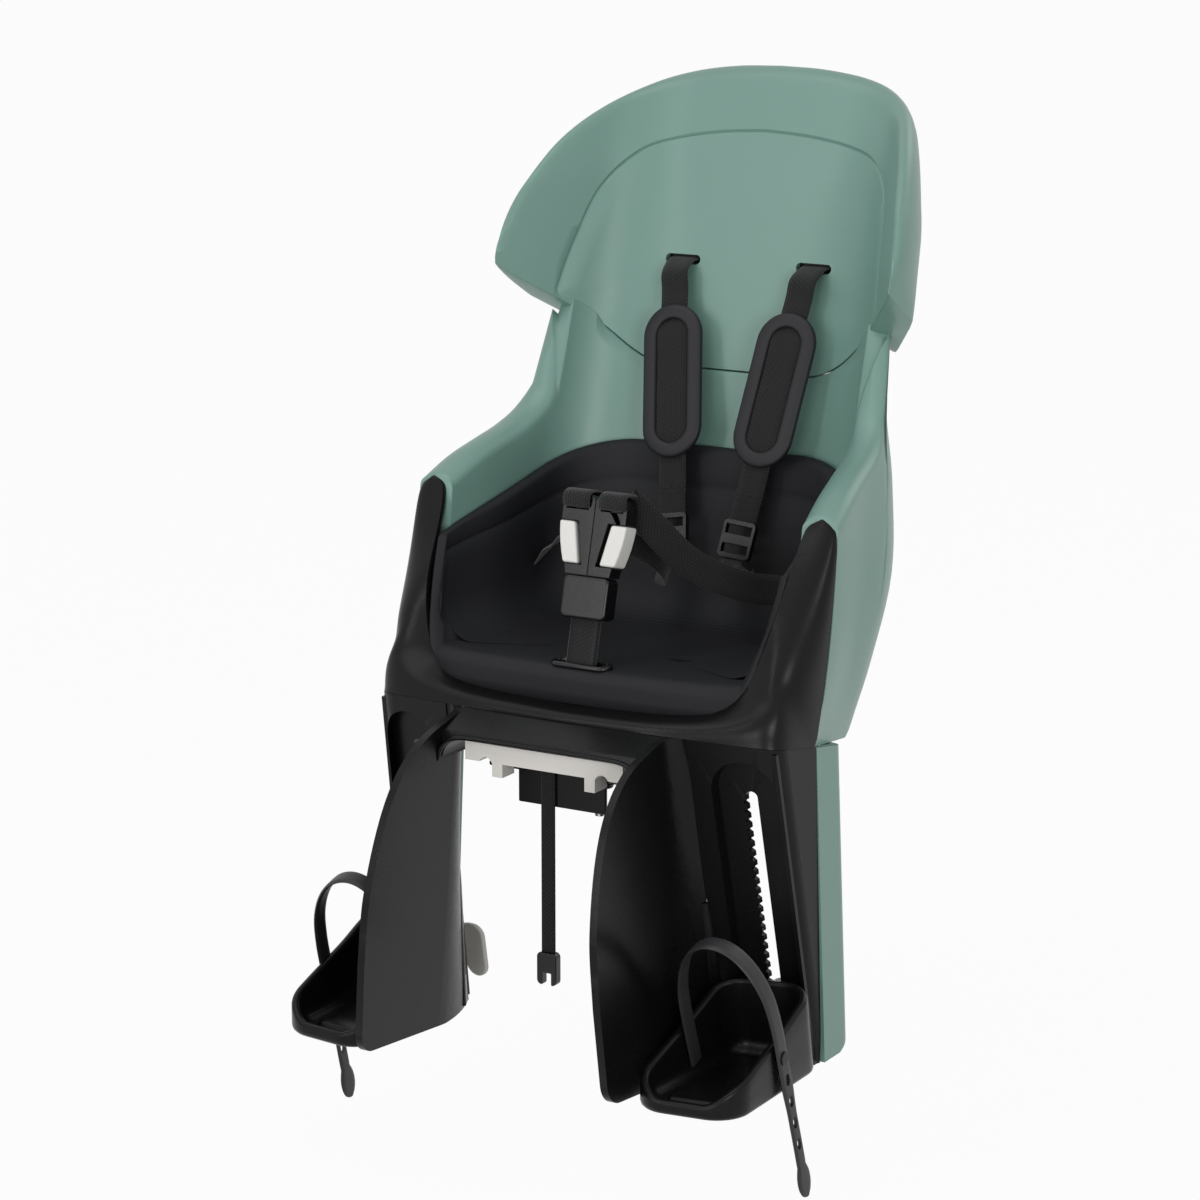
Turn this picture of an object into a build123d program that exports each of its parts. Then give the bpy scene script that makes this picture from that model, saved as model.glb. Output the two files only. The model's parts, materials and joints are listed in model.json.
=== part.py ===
from build123d import *
import math
import os

# Rear child seat for a bicycle carrier, in millimetres.
# Z is up, the child faces -Y, X = 0 is the plane of symmetry.
# The origin lies midway between the two carrier rails, level with the underside of the rail saddles.

# Back and headrest
RECLINE = 0.26
BACK_Y = 205.0
BACK_Z = 211.0
BACK_FLAT = 72.0
TUB_CORNER = 72.0
TUB_FLARE = 10.0
TUB_LOW_Z = -60.0
TUB_HIGH_Z = 420.0
OVERCUT = 20.0
SHELL_WALL = 26.0
WAIST_WALL = 21.5
WAIST_Z = 276.0
HIP_WALL = 45.0
HIP_Z = 131.0
THIGH_WALL = 37.0
THIGH_Z = 60.0
HEAD_WALL = 18.0
HEAD_CORNER = 75.0
HEAD_FLARE = 33.0
HEAD_SEAM_Z = 272.7
HEAD_SEAM_FLAT = 86.0
HEAD_TIP_X = 190.0
HEAD_TIP_Z = 363.0
HEAD_TOP_Z = 521.0
HEAD_SPARE = 50.0
RIM_ROUND = 8.0
SEAM_GAP = 0.6
CREASE_IN = 44.0
CREASE_WIDTH = 1.6
CREASE_DEPTH = 1.2
STRAP_SLOT_X = 61.8
STRAP_SLOT_Z = 360.5
STRAP_SLOT_LENGTH = 33.0
STRAP_SLOT_HEIGHT = 8.0

# Seat body
EDGE_LOW = (13.0, 19.0)
EDGE_HIGH = (37.0, 200.0)
LOWER_BACK_Z = 150.0
LOWER_BACK_END = (80.0, 0.0)
SEAM_Z = 34.0
SEAM_Y = -60.5
SEAM_FALL = 0.17
PAN_FLOOR_Z = 44.0
FRONT_Y = -62.0
FRONT_HALF = 89.0
FRONT_CORNER_X = 183.0
FRONT_CORNER_Y = -47.0
FRONT_CORNER_ROUND = 20.0
SIDE_SPREAD = 5.0
SIDE_END_Y = 40.0
OPENING_FOOT_Z = 41.5
OPENING_SIDE_X = 167.0
OPENING_SIDE_Z = 164.0
OPENING_ROUND = 45.0

# Seat pad
PAD_GAP = 0.4
PAD_WALL = 13.0
PAD_SEAT_Z = 72.0
PAD_TOP_Z = 212.0
PAD_TOP_FALL = 0.30
PAD_NOSE_Y = -40.0
PAD_NOSE_ROUND = 10.0
PAD_ARM_BACK = 3.0

# Legs
LEG_SPLAY = 0.043
LEG_LEAN = 0.19
LEG_FOOT_Z = -236.0
LEG_LOW_Z = LEG_FOOT_Z - 44.0
FIN_WALL = 6.5
FIN_SPLAY = 0.08
FIN_REACH = 260.0
FIN_BEND_Y = -71.0
FIN_TOP_Z = 60.0
RIDGE_IN = 73.0
RIDGE_REAR = 6.0
LEG_WALL = 6.0
SIDE_WALL = 7.0
DECK_Z = 17.0
DECK_FRONT_Y = -94.0
RECESS_HALF = 26.0
RECESS_DEPTH = 12.0
RECESS_TOP_Z = 19.0
TRACK_INSET = 31.0
TRACK_X = FRONT_CORNER_X - TRACK_INSET
TRACK_WIDTH = 10.0
TRACK_TOP_Z = -8.0
TRACK_FOOT_Z = -215.0
TOOTH_PITCH = 8.0
TOOTH_DEPTH = 2.6
COVER_WALL = 7.0
COVER_REAR_Y = 64.0
COVER_RETURN = 12.0
COVER_FOOT_ROUND = 22.0
COVER_STEP = 3.5
COVER_OUT_X = FRONT_CORNER_X + COVER_STEP
LEG_EDGE_Y = 14.0
LEG_GAP = 0.6
ARCH_ROUND = 18.0

# Foot trays
TRAY_FRONT_Y = -164.0
TRAY_FOOT_Z = -231.0
TRAY_SIDE_GAP = 2.3
TRAY_WIDTH = 89.0
TRAY_IN_X = FRONT_HALF + FIN_WALL + FIN_SPLAY * (SEAM_Z - TRAY_FOOT_Z) + TRAY_SIDE_GAP
TRAY_OUT_X = TRAY_IN_X + TRAY_WIDTH
TRAY_REAR_Y = 20.0
TRAY_BACK_Z = -160.0
TRAY_WALL = 4.0
TRAY_CORNER = 18.0
TRAY_GAP = 0.7
GUIDE_GAP = 1.5
GUIDE_TOP_Z = -165.0
STEM_Z = -193.0
STEM_RADIUS = 3.5
FOOT_STRAP_WIDTH = 16.0
FOOT_STRAP_THICK = 2.6
FOOT_STRAP_HOLES = 7
FOOT_STRAP_PITCH = 20.0
STRAP_PEG_DROP = 96.0
STRAP_PEG_RADIUS = 2.6
PEG_STAND = 1.6
LEVER_WIDTH = 21.0
LEVER_LENGTH = 44.0
LEVER_THICK = 6.0
LEVER_OFFSET = 13.0
LOCK_BLOCK = (24.0, 30.0, 15.0)
LOCK_GAP = 0.3
STEM_HEAD = 3.0
PIVOT_GAP = 0.3

# Harness
WEBBING = 25.0
WEBBING_THICK = 1.6
LOWER_WEBBING = 20.0
STRAP_LIFT = 13.0
STRAP_RECLINE = 0.355
STRAP_END_X = {"left": 24.0, "right": 43.0}
STRAP_END_Z = 160.0
RING_Z = 264.0
ADJUSTER = 30.0
STRAP_GAP = 0.4
LAP_WALL_POINT = (119.5, 116.0, 123.5)
LAP_KNEE_POINT = (70.0, 60.0, 150.0)
LAP_START_LIFT = 9.0
KEEPER_RADIUS = 4.0
KEEPER_LENGTH = 180.0
RING_WIDTH = 50.0
RING_LENGTH = 124.0
RING_RIM = 8.5
RING_THICK = 9.0

# Buckle
BUCKLE_FOOT = (0.0, -17.0, 124.0)
BUCKLE_LEAN = 0.25
BUCKLE_HALF = 29.0
BUCKLE_HEIGHT = 66.0
BUCKLE_THICK = 17.0
BUCKLE_WAIST = 20.0
BUCKLE_SHOULDER = 62.0
TONGUE_GAP = 0.6
SLEEVE_TOP = 18.0
SLEEVE_HEIGHT = 34.0
POST_GAP = 0.4
BUTTON_TRAVEL = 2.5
BUTTON_DEPTH = 7.0
SPRING_ROOM = 3.0
SPRING_RADIUS = 3.0

# Carrier clamp
RAIL_X = 53.0
RAIL_RADIUS = 6.0
RAIL_Z = -2.0
SADDLE_HALF = 72.0
SADDLE_FRONT_Y = -88.0
SADDLE_DEPTH = 18.0
HOOK_WIDTH = 9.5
HOOK_DROP = 11.0
BASE_FRONT_Y = -61.0
PLATE_THICK = 4.0
CLAMP_GAP = 0.3
PLATE_HALF = 70.0
PLATE_LIP_Z = -37.0
SCREW_RADIUS = 4.0
KNOB_RADIUS = 21.0
SAFETY_WEBBING = 13.0
SAFETY_FOOT_Z = -157.0
SAFETY_X = -11.0
SAFETY_BUCKLE = (18.0, 27.0, 8.0)
THREAD_PLAY = 0.08

HALF_SPAN = 400.0
FAR = 600.0


def edge_y(z):
    """Line in the side view where the green shell meets the black front."""
    return EDGE_LOW[0] + (z - EDGE_LOW[1]) * (EDGE_HIGH[0] - EDGE_LOW[0]) / (EDGE_HIGH[1] - EDGE_LOW[1])


def seam_height(y):
    """Height of the parting plane between the seat body and the legs."""
    return SEAM_Z - SEAM_FALL * (y - SEAM_Y)


def inner_back(z):
    return BACK_Y + RECLINE * (z - BACK_Z)


def polygon(*points):
    return make_face(Polyline(*points, close=True))


def across(face):
    """Block over the full width from a face drawn in the side view (y, z)."""
    return extrude(Plane.YZ * face, amount=HALF_SPAN, both=True)


def along(face):
    """Block over the full depth from a face drawn in the front view (x, z)."""
    return extrude(Plane.XZ * face, amount=FAR, both=True)


def leg_prism(face, top, foot, lean=LEG_LEAN):
    """Slanted prism of a plan face that is drawn at the seam height."""
    rise = top - SEAM_Z
    drop = top - foot
    start = Pos(-LEG_SPLAY * rise, -lean * rise, top) * face
    return Solid.extrude(start.face(), Vector(LEG_SPLAY * drop, lean * drop, -drop))


def tub_face(offset, corner, flare):
    """Plan of the tub's inside, grown by an offset, with its back at y = 0."""
    angle = math.radians(flare)
    middle_angle = math.radians((90.0 + flare) / 2.0)
    radius = corner + offset
    end = (BACK_FLAT + radius * math.cos(angle), radius * math.sin(angle) - corner)
    middle = (BACK_FLAT + radius * math.cos(middle_angle), radius * math.sin(middle_angle) - corner)
    tip = (end[0] + FAR * math.sin(angle), end[1] - FAR * math.cos(angle))
    half = make_face([
        Line((0, offset), (BACK_FLAT, offset)),
        ThreePointArc((BACK_FLAT, offset), middle, end),
        Line(end, tip),
        Line(tip, (0, tip[1])),
        Line((0, tip[1]), (0, offset)),
    ])
    return (half + mirror(half, about=Plane.YZ)).face()


def tub(offset, low, high, corner=TUB_CORNER, flare=TUB_FLARE):
    """Leaning tub between two heights."""
    start = Pos(0, inner_back(low), low) * tub_face(offset, corner, flare)
    return Solid.extrude(start, Vector(0, RECLINE * (high - low), high - low))


def cavity():
    """The tub's inside, longer than the shell at both ends."""
    return tub(0, TUB_LOW_Z - OVERCUT, TUB_HIGH_Z + OVERCUT)


def hull():
    """Outside of the bucket: plan sections that swell at the hips and draw in at the waist."""
    walls = [(TUB_LOW_Z, SHELL_WALL - 2), (0.0, SHELL_WALL), (THIGH_Z, THIGH_WALL), (HIP_Z, HIP_WALL),
             ((HIP_Z + WAIST_Z) / 2, SHELL_WALL + 10), (WAIST_Z, WAIST_WALL), (TUB_HIGH_Z, WAIST_WALL)]
    sections = []
    for z, wall in walls:
        flare = TUB_FLARE * (HIP_WALL - wall) / (HIP_WALL - SHELL_WALL)
        sections.append(Pos(0, inner_back(z), z) * tub_face(wall, TUB_CORNER, flare))
    return loft(sections)


def lower_back_cut(offset, end, floor):
    """What lies behind and below the curved underside of the bucket."""
    start = (inner_back(LOWER_BACK_Z) + offset, LOWER_BACK_Z)
    curve = TangentArc(start, end, tangent=(-RECLINE, -1))
    front = (-FAR, end[1]) if floor else (end[0], -FAR + 1)
    rest = Polyline(end, front, (front[0], -FAR), (FAR, -FAR), (FAR, LOWER_BACK_Z), start)
    return across(make_face([curve, rest]))


def under_seam(gap=0.0):
    """Everything below the parting plane."""
    return across(polygon((-FAR, -FAR), (FAR, -FAR), (FAR, seam_height(FAR) + gap),
                          (-FAR, seam_height(-FAR) + gap)))


def over_head_seam(gap=0.0):
    """Everything above the headrest's lower edge, seen from the front."""
    rise = (HEAD_TIP_Z - HEAD_SEAM_Z) / (HEAD_TIP_X - HEAD_SEAM_FLAT)
    low = HEAD_SEAM_Z - gap
    high = low + rise * (HALF_SPAN - HEAD_SEAM_FLAT)
    return along(polygon((-HEAD_SEAM_FLAT, low), (HEAD_SEAM_FLAT, low), (HALF_SPAN, high),
                         (HALF_SPAN, FAR + high), (-HALF_SPAN, FAR + high), (-HALF_SPAN, high)))


def head_arch(inset=0.0):
    """Half outline of the headrest's rim in the front view, from wing tip to crown."""
    tip = HEAD_TIP_X - inset
    top = HEAD_TOP_Z - inset
    height = top - HEAD_TIP_Z
    return Spline((tip, HEAD_TIP_Z), (0.94 * tip, HEAD_TIP_Z + 0.38 * height),
                  (0.74 * tip, HEAD_TIP_Z + 0.79 * height), (0.42 * tip, HEAD_TIP_Z + 0.955 * height),
                  (0, top), tangents=[(-0.12, 1), (-1, 0)])


def head_region(inset=0.0):
    arch = head_arch(inset)
    low = HEAD_SEAM_Z - HEAD_SPARE
    tip = HEAD_TIP_X - inset
    half = make_face([arch, Polyline((0, HEAD_TOP_Z - inset), (0, low), (tip, low), (tip, HEAD_TIP_Z))])
    return (half + mirror(half, about=Plane.YZ)).face()


def head_tub(offset, spare):
    return tub(offset, HEAD_SEAM_Z - spare, HEAD_TOP_Z + spare, HEAD_CORNER, HEAD_FLARE)


def build_headrest():
    wall = head_tub(HEAD_WALL, HEAD_SPARE) - head_tub(0, HEAD_SPARE + OVERCUT)
    shell = wall & along(head_region()) & over_head_seam()
    rim = [e for e in shell.edges() if e.length > 150 and e.center().Z > HEAD_TIP_Z + 20]
    shell = fillet(rim, RIM_ROUND)
    slot = SlotOverall(STRAP_SLOT_LENGTH, STRAP_SLOT_HEIGHT)
    for side in (-1, 1):
        shell -= along(Pos(side * STRAP_SLOT_X, STRAP_SLOT_Z) * slot)
    ring = head_region(CREASE_IN) - head_region(CREASE_IN + CREASE_WIDTH)
    return shell - (along(ring) & head_tub(CREASE_DEPTH, HEAD_SPARE + OVERCUT))


def rim_cut():
    """What lies in front of and above the arm rims."""
    start = (edge_y(EDGE_HIGH[1] - 2), EDGE_HIGH[1] - 2)
    end = (204, 310)
    rim = Spline(start, (95, 214), (150, 235), (186, 268), end)
    rest = Polyline(end, (300, FAR), (-FAR, FAR), (-FAR, -FAR), (edge_y(-FAR), -FAR), start)
    return across(make_face([rim, rest]))


def build_back_shell():
    outer = hull() - lower_back_cut(HIP_WALL, LOWER_BACK_END, False)
    inside = cavity() - lower_back_cut(0, (LOWER_BACK_END[0], PAN_FLOOR_Z), True)
    shell = outer - inside - under_seam() - over_head_seam(SEAM_GAP)
    return shell - rim_cut()


def opening_face(inset=0.0):
    """The bucket's mouth in the front view."""
    foot = OPENING_FOOT_Z + inset
    side = OPENING_SIDE_X - inset
    half = polygon((0, foot), (side - 14, foot + 5), (side, OPENING_SIDE_Z), (side + 20, OPENING_SIDE_Z + 52),
                   (side + 20, FAR), (0, FAR))
    corner = half.vertices().sort_by_distance((side - 14, foot + 5))[0]
    half = fillet(corner, OPENING_ROUND)
    return (half + mirror(half, about=Plane.YZ)).face()


def front_plan():
    """Plan of the black front at the seam."""
    outer = FRONT_CORNER_X + SIDE_SPREAD
    half = polygon((0, FRONT_Y), (FRONT_HALF, FRONT_Y + 1.5), (FRONT_CORNER_X, FRONT_CORNER_Y),
                   (outer, SIDE_END_Y), (outer, 3 * SIDE_END_Y), (0, 3 * SIDE_END_Y))
    corner = half.vertices().sort_by_distance((FRONT_CORNER_X, FRONT_CORNER_Y))[0]
    half = fillet(corner, FRONT_CORNER_ROUND)
    return (half + mirror(half, about=Plane.YZ)).face()


def behind_brow(shift=0.0):
    """Space behind the sloping front of the bezel, seen from the side."""
    tip = (EDGE_HIGH[0] - 3, EDGE_HIGH[1])
    face = Spline((FRONT_Y, SEAM_Z), (-34, 48), (-8, 84), (18, 140), tip)
    rest = Polyline(tip, (tip[0], FAR), (FAR, FAR), (FAR, -FAR), (FRONT_Y, -FAR), (FRONT_Y, SEAM_Z))
    return Pos(0, shift, 0) * across(make_face([face, rest]))


def build_front_bezel():
    block = Solid.extrude(front_plan(), Vector(0, 0, EDGE_HIGH[1])) & hull()
    front = across(polygon((edge_y(FAR) - SEAM_GAP, FAR), (edge_y(-FAR) - SEAM_GAP, -FAR),
                           (-FAR, -FAR), (-FAR, FAR)))
    bezel = block & behind_brow() & front
    return bezel - along(opening_face()) - under_seam()


def pad_limits(offset):
    """Room for the pad inside the tub and the mouth, over the pan and under the sloping top edge."""
    room = tub(-offset, TUB_LOW_Z, TUB_HIGH_Z) & along(opening_face(offset))
    room -= Pos(0, -offset, offset) * lower_back_cut(0, (LOWER_BACK_END[0], PAN_FLOOR_Z), True)
    back = inner_back(PAD_TOP_Z)
    top = across(polygon((back, PAD_TOP_Z), (-FAR, PAD_TOP_Z - PAD_TOP_FALL * (back + FAR)), (-FAR, -FAR),
                         (FAR, -FAR), (FAR, PAD_TOP_Z)))
    return room & top


def build_seat_pad():
    nose = across(polygon((PAD_NOSE_Y, -FAR), (FAR, -FAR), (FAR, FAR), (PAD_NOSE_Y, FAR)))
    block = pad_limits(PAD_GAP) & nose
    over_seat = across(polygon((-FAR, PAD_SEAT_Z), (FAR, PAD_SEAT_Z), (FAR, FAR), (-FAR, FAR)))
    block -= over_seat - behind_brow(PAD_ARM_BACK)
    hollow = tub(-PAD_WALL, TUB_LOW_Z - OVERCUT, TUB_HIGH_Z + OVERCUT)
    rise = PAD_SEAT_Z - PAN_FLOOR_Z
    hollow -= Pos(0, -PAD_WALL, rise) * lower_back_cut(0, (LOWER_BACK_END[0], PAN_FLOOR_Z), True)
    pad = block - hollow
    nose_edges = pad.edges().filter_by(Axis.X).filter_by_position(Axis.Y, PAD_NOSE_Y - 1, PAD_NOSE_Y + 1)
    return fillet(nose_edges.sort_by(Axis.Z)[-1], PAD_NOSE_ROUND)


def wall_y(x, z):
    """Front face of a leg's front wall."""
    slope = (FRONT_CORNER_Y - FRONT_Y - 1.5) / (FRONT_CORNER_X - FRONT_HALF)
    plan_x = x - LEG_SPLAY * (SEAM_Z - z)
    return FRONT_Y + 1.5 + slope * (plan_x - FRONT_HALF) + LEG_LEAN * (SEAM_Z - z)


def wall_at_seam(x):
    return wall_y(x, SEAM_Z)


def leg_plan():
    """Front wall and outer wall of the right leg in plan, as one bent strip."""
    ridge = FRONT_CORNER_X - RIDGE_IN
    outer = FRONT_CORNER_X + SIDE_SPREAD
    points = [
        (ridge, wall_at_seam(ridge)),
        (FRONT_CORNER_X, FRONT_CORNER_Y),
        (outer, SIDE_END_Y),
        (outer - SIDE_WALL, SIDE_END_Y),
        (FRONT_CORNER_X - SIDE_WALL, FRONT_CORNER_Y + LEG_WALL),
        (ridge, wall_at_seam(ridge) + LEG_WALL),
    ]
    face = polygon(*points)
    for index, radius in ((1, FRONT_CORNER_ROUND), (4, FRONT_CORNER_ROUND - SIDE_WALL)):
        face = fillet(face.vertices().sort_by_distance(points[index])[0], radius)
    return face.face()


def swept_plan(z, shift, beyond, depth):
    """Plan at a height of what lies on the wheel's side of a face that sweeps from the fin into the front wall."""
    side = FRONT_HALF + FIN_WALL + FIN_SPLAY * (SEAM_Z - z) + shift
    ridge = FRONT_CORNER_X - RIDGE_IN + LEG_SPLAY * (SEAM_Z - z)
    end = (ridge + beyond, wall_y(ridge, z) + depth)
    sweep = TangentArc((side, FIN_BEND_Y), end, tangent=(0, 1))
    rest = Polyline(end, (end[0], FIN_REACH), (0, FIN_REACH), (0, -FIN_REACH), (side, -FIN_REACH),
                    (side, FIN_BEND_Y))
    return Pos(0, 0, z) * make_face([sweep, rest])


def wheel_side(shift, beyond, depth):
    return loft([swept_plan(z, shift, beyond, depth) for z in (FIN_TOP_Z, LEG_LOW_Z)], ruled=True)


def fin_outline():
    """Legs seen from the side."""
    front = Spline((SEAM_Y, SEAM_Z), (-118, 19), (-160, -20), (-183, -85), (-187, -150),
                   tangents=[(-1, -0.28), (0, -1)])
    foot = FilletPolyline((-187, -150), (-184, -224), (-60, LEG_FOOT_Z), (0, LEG_FOOT_Z - 1), radius=18)
    rest = Polyline((0, LEG_FOOT_Z - 1), (FAR, LEG_FOOT_Z - 1), (FAR, 120), (SEAM_Y, 120), (SEAM_Y, SEAM_Z))
    return make_face([front, foot, rest])


def track_x(z):
    return TRACK_X + LEG_SPLAY * (SEAM_Z - z)


def track_strip(half, top, foot):
    """Slanted strip along the track in the front view, with a round top."""
    strip = polygon((track_x(top) - half, top), (track_x(top) + half, top),
                    (track_x(foot) + half, foot), (track_x(foot) - half, foot))
    return strip + Pos(track_x(top), top) * Circle(half)


def before_recess_floor(depth):
    """Space in front of a plane that lies behind the leg's front wall by a depth."""
    left = wall_at_seam(0) + depth
    right = wall_at_seam(300) + depth
    return leg_prism(polygon((0, -FAR), (300, -FAR), (300, right), (0, left)), 160, -300)


def build_leg():
    """Right leg: fin, front wall with the toothed track in its recess, and outer wall."""
    fin = wheel_side(0, 0, 1) & before_recess_floor(LEG_WALL)
    leg = (leg_prism(leg_plan(), FIN_TOP_Z, LEG_LOW_Z) + fin) & across(fin_outline())
    floor = RECESS_DEPTH + LEG_WALL
    left, right = TRACK_X - RECESS_HALF - 3, FRONT_CORNER_X - 2
    backing = polygon((left, wall_at_seam(left) + 3), (right, wall_at_seam(right) + 3),
                      (right, wall_at_seam(right) + floor), (left, wall_at_seam(left) + floor))
    leg += leg_prism(backing, RECESS_TOP_Z + 8, LEG_LOW_Z) & across(fin_outline())
    recess = along(track_strip(RECESS_HALF, RECESS_TOP_Z - RECESS_HALF, LEG_LOW_Z))
    leg -= recess & before_recess_floor(RECESS_DEPTH)
    leg -= along(track_strip(TRACK_WIDTH / 2, TRACK_TOP_Z - TRACK_WIDTH / 2, TRACK_FOOT_Z))
    teeth = int((TRACK_TOP_Z - TRACK_FOOT_Z) / TOOTH_PITCH) - 1
    edge = TRACK_WIDTH / 2 - 0.5
    notches = Sketch()
    for index in range(teeth):
        z = TRACK_TOP_Z - TOOTH_PITCH * (index + 1.2)
        x = track_x(z) - edge
        notches += polygon((x, z - TOOTH_PITCH * 0.3), (x - TOOTH_DEPTH - 0.5, z), (x, z + TOOTH_PITCH * 0.3))
    leg -= along(notches)
    leg -= wheel_side(-FIN_WALL, RIDGE_REAR, LEG_WALL)
    return leg - Pos(FRONT_CORNER_X - SIDE_WALL - 4 + FAR / 2, LEG_EDGE_Y + FAR / 2, 0) * Box(FAR, FAR, 2 * FAR)


def over_seam(gap=0.0):
    """Everything above the parting plane."""
    return across(polygon((-FAR, FAR), (FAR, FAR), (FAR, seam_height(FAR) - gap),
                          (-FAR, seam_height(-FAR) - gap)))


def build_leg_frame():
    leg = build_leg()
    deck_face = polygon((SEAM_Y - 1, SEAM_Z + 0.2), (DECK_FRONT_Y + 2, DECK_Z + 6.5), (DECK_FRONT_Y, DECK_Z),
                        (SEAM_Y + (SEAM_Z - DECK_Z) / SEAM_FALL, DECK_Z))
    deck = extrude(Plane.YZ * deck_face, amount=FRONT_HALF + 2, both=True)
    corner = FRONT_HALF + 0.5
    gusset = Pos(corner - ARCH_ROUND / 2, DECK_Z - ARCH_ROUND / 2) * Rectangle(ARCH_ROUND, ARCH_ROUND)
    gusset -= Pos(corner - ARCH_ROUND, DECK_Z - ARCH_ROUND) * Circle(ARCH_ROUND)
    web = Solid.extrude(Plane.XZ.offset(-DECK_FRONT_Y) * gusset.face(), Vector(0, 60, 0))
    half = leg + web
    frame = deck + half + mirror(half, about=Plane.YZ)
    return frame - over_seam()


def cover_plan():
    out = COVER_OUT_X
    inner = out - COVER_WALL
    edge = LEG_EDGE_Y + LEG_GAP
    points = [(inner, edge), (out, edge), (out, COVER_REAR_Y), (inner - COVER_RETURN, COVER_REAR_Y),
              (inner - COVER_RETURN, COVER_REAR_Y - COVER_WALL), (inner, COVER_REAR_Y - COVER_WALL)]
    face = polygon(*points)
    for point, radius in ((points[2], 16), (points[5], 9)):
        face = fillet(face.vertices().sort_by_distance(point)[0], radius)
    return face.face()


def build_leg_cover(side):
    cover = leg_prism(cover_plan(), 80, LEG_LOW_Z, lean=0)
    rear = COVER_REAR_Y + 1
    foot = FilletPolyline((-FAR, LEG_FOOT_Z), (rear, LEG_FOOT_Z), (rear, FAR), radius=COVER_FOOT_ROUND)
    rest = Polyline((rear, FAR), (-FAR, FAR), (-FAR, LEG_FOOT_Z))
    cover = (cover & across(make_face([foot, rest]))) - over_seam(SEAM_GAP)
    return sided(cover, side)


def sided(solid, side):
    """A right hand piece, or its mirror image for the left."""
    return solid if side > 0 else mirror(solid, about=Plane.YZ)


def wall_plane(z):
    """Plane on the recess floor at the track, with its normal to the rear."""
    x = track_x(z)
    y = wall_y(x, z) + RECESS_DEPTH
    slope = wall_at_seam(1) - wall_at_seam(0)
    return Plane(origin=(x, y, z), x_dir=(1, slope, 0), z_dir=(-slope, 1, LEG_LEAN - LEG_SPLAY * slope))


def build_foot_tray(side):
    left, right, rear = TRAY_IN_X, TRAY_OUT_X, TRAY_REAR_Y
    plan = polygon((left, TRAY_FRONT_Y), (right, TRAY_FRONT_Y + 12), (right, rear), (left, rear))
    inner = offset(plan, -TRAY_WALL)
    for point in ((left, TRAY_FRONT_Y), (right, TRAY_FRONT_Y + 12)):
        plan = fillet(plan.vertices().sort_by_distance(point)[0], TRAY_CORNER)
        inner = fillet(inner.vertices().sort_by_distance(point)[0], TRAY_CORNER - TRAY_WALL)
    high = Pos(0, 0, TRAY_FOOT_Z) * plan.face()
    low = Pos(0, 0, TRAY_FOOT_Z + TRAY_WALL) * inner.face()
    body = Solid.extrude(high, Vector(0, 0, 120))
    profile = Spline((TRAY_FRONT_Y - 10, TRAY_FOOT_Z + 11), (-120, TRAY_FOOT_Z + 17), (-70, TRAY_FOOT_Z + 42),
                     (rear + 5, TRAY_BACK_Z))
    rest = Polyline((rear + 5, TRAY_BACK_Z), (rear + 5, -FAR), (TRAY_FRONT_Y - 10, -FAR),
                    (TRAY_FRONT_Y - 10, TRAY_FOOT_Z + 11))
    body = body & across(make_face([profile, rest]))
    lean_back = polygon((0, -FAR), (300, -FAR), (300, wall_at_seam(FRONT_HALF) - TRAY_GAP),
                        (0, wall_at_seam(FRONT_HALF) - TRAY_GAP))
    inner_back_face = polygon((0, -FAR), (300, -FAR), (300, wall_at_seam(FRONT_HALF) - TRAY_GAP - TRAY_WALL),
                              (0, wall_at_seam(FRONT_HALF) - TRAY_GAP - TRAY_WALL))
    body = body & leg_prism(lean_back, 0, -300)
    hollow = Solid.extrude(low, Vector(0, 0, 120)) & leg_prism(inner_back_face, 0, -300)
    body -= hollow
    start, end = TRACK_X - RECESS_HALF + GUIDE_GAP, TRACK_X + RECESS_HALF - GUIDE_GAP
    near = wall_at_seam(FRONT_HALF) - TRAY_GAP - TRAY_WALL / 2
    guide = polygon((start, near), (end, near), (end, wall_at_seam(end) + RECESS_DEPTH - TRAY_GAP),
                    (start, wall_at_seam(start) + RECESS_DEPTH - TRAY_GAP))
    body += leg_prism(guide, GUIDE_TOP_Z, TRAY_FOOT_Z + 4)
    seat = wall_plane(STEM_Z) * Circle(STEM_RADIUS)
    body -= extrude(seat, amount=-RECESS_DEPTH / 2)
    return sided(body - wheel_side(TRAY_GAP, TRAY_GAP, 0), side)


def lever_lift():
    """Distance from the recess floor to the front of the lever."""
    return LEG_WALL + LOCK_GAP + LOCK_BLOCK[2] + PIVOT_GAP


def build_lock_stem(side):
    """Stem that passes the track, with the lock block behind the leg and a head that holds the lever."""
    base = wall_plane(STEM_Z)
    head_lift = lever_lift() + LEVER_THICK + PIVOT_GAP
    shank = extrude(base * Circle(STEM_RADIUS), amount=-RECESS_DEPTH / 2)
    shank += extrude(base * Circle(STEM_RADIUS), amount=head_lift + STEM_HEAD)
    width, height, depth = LOCK_BLOCK
    block = extrude(base.offset(LEG_WALL + LOCK_GAP) * RectangleRounded(width, height, 8), amount=depth)
    head = extrude(base.offset(head_lift) * Circle(2 * STEM_RADIUS), amount=STEM_HEAD)
    return sided(shank + block + head, side)


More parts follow.
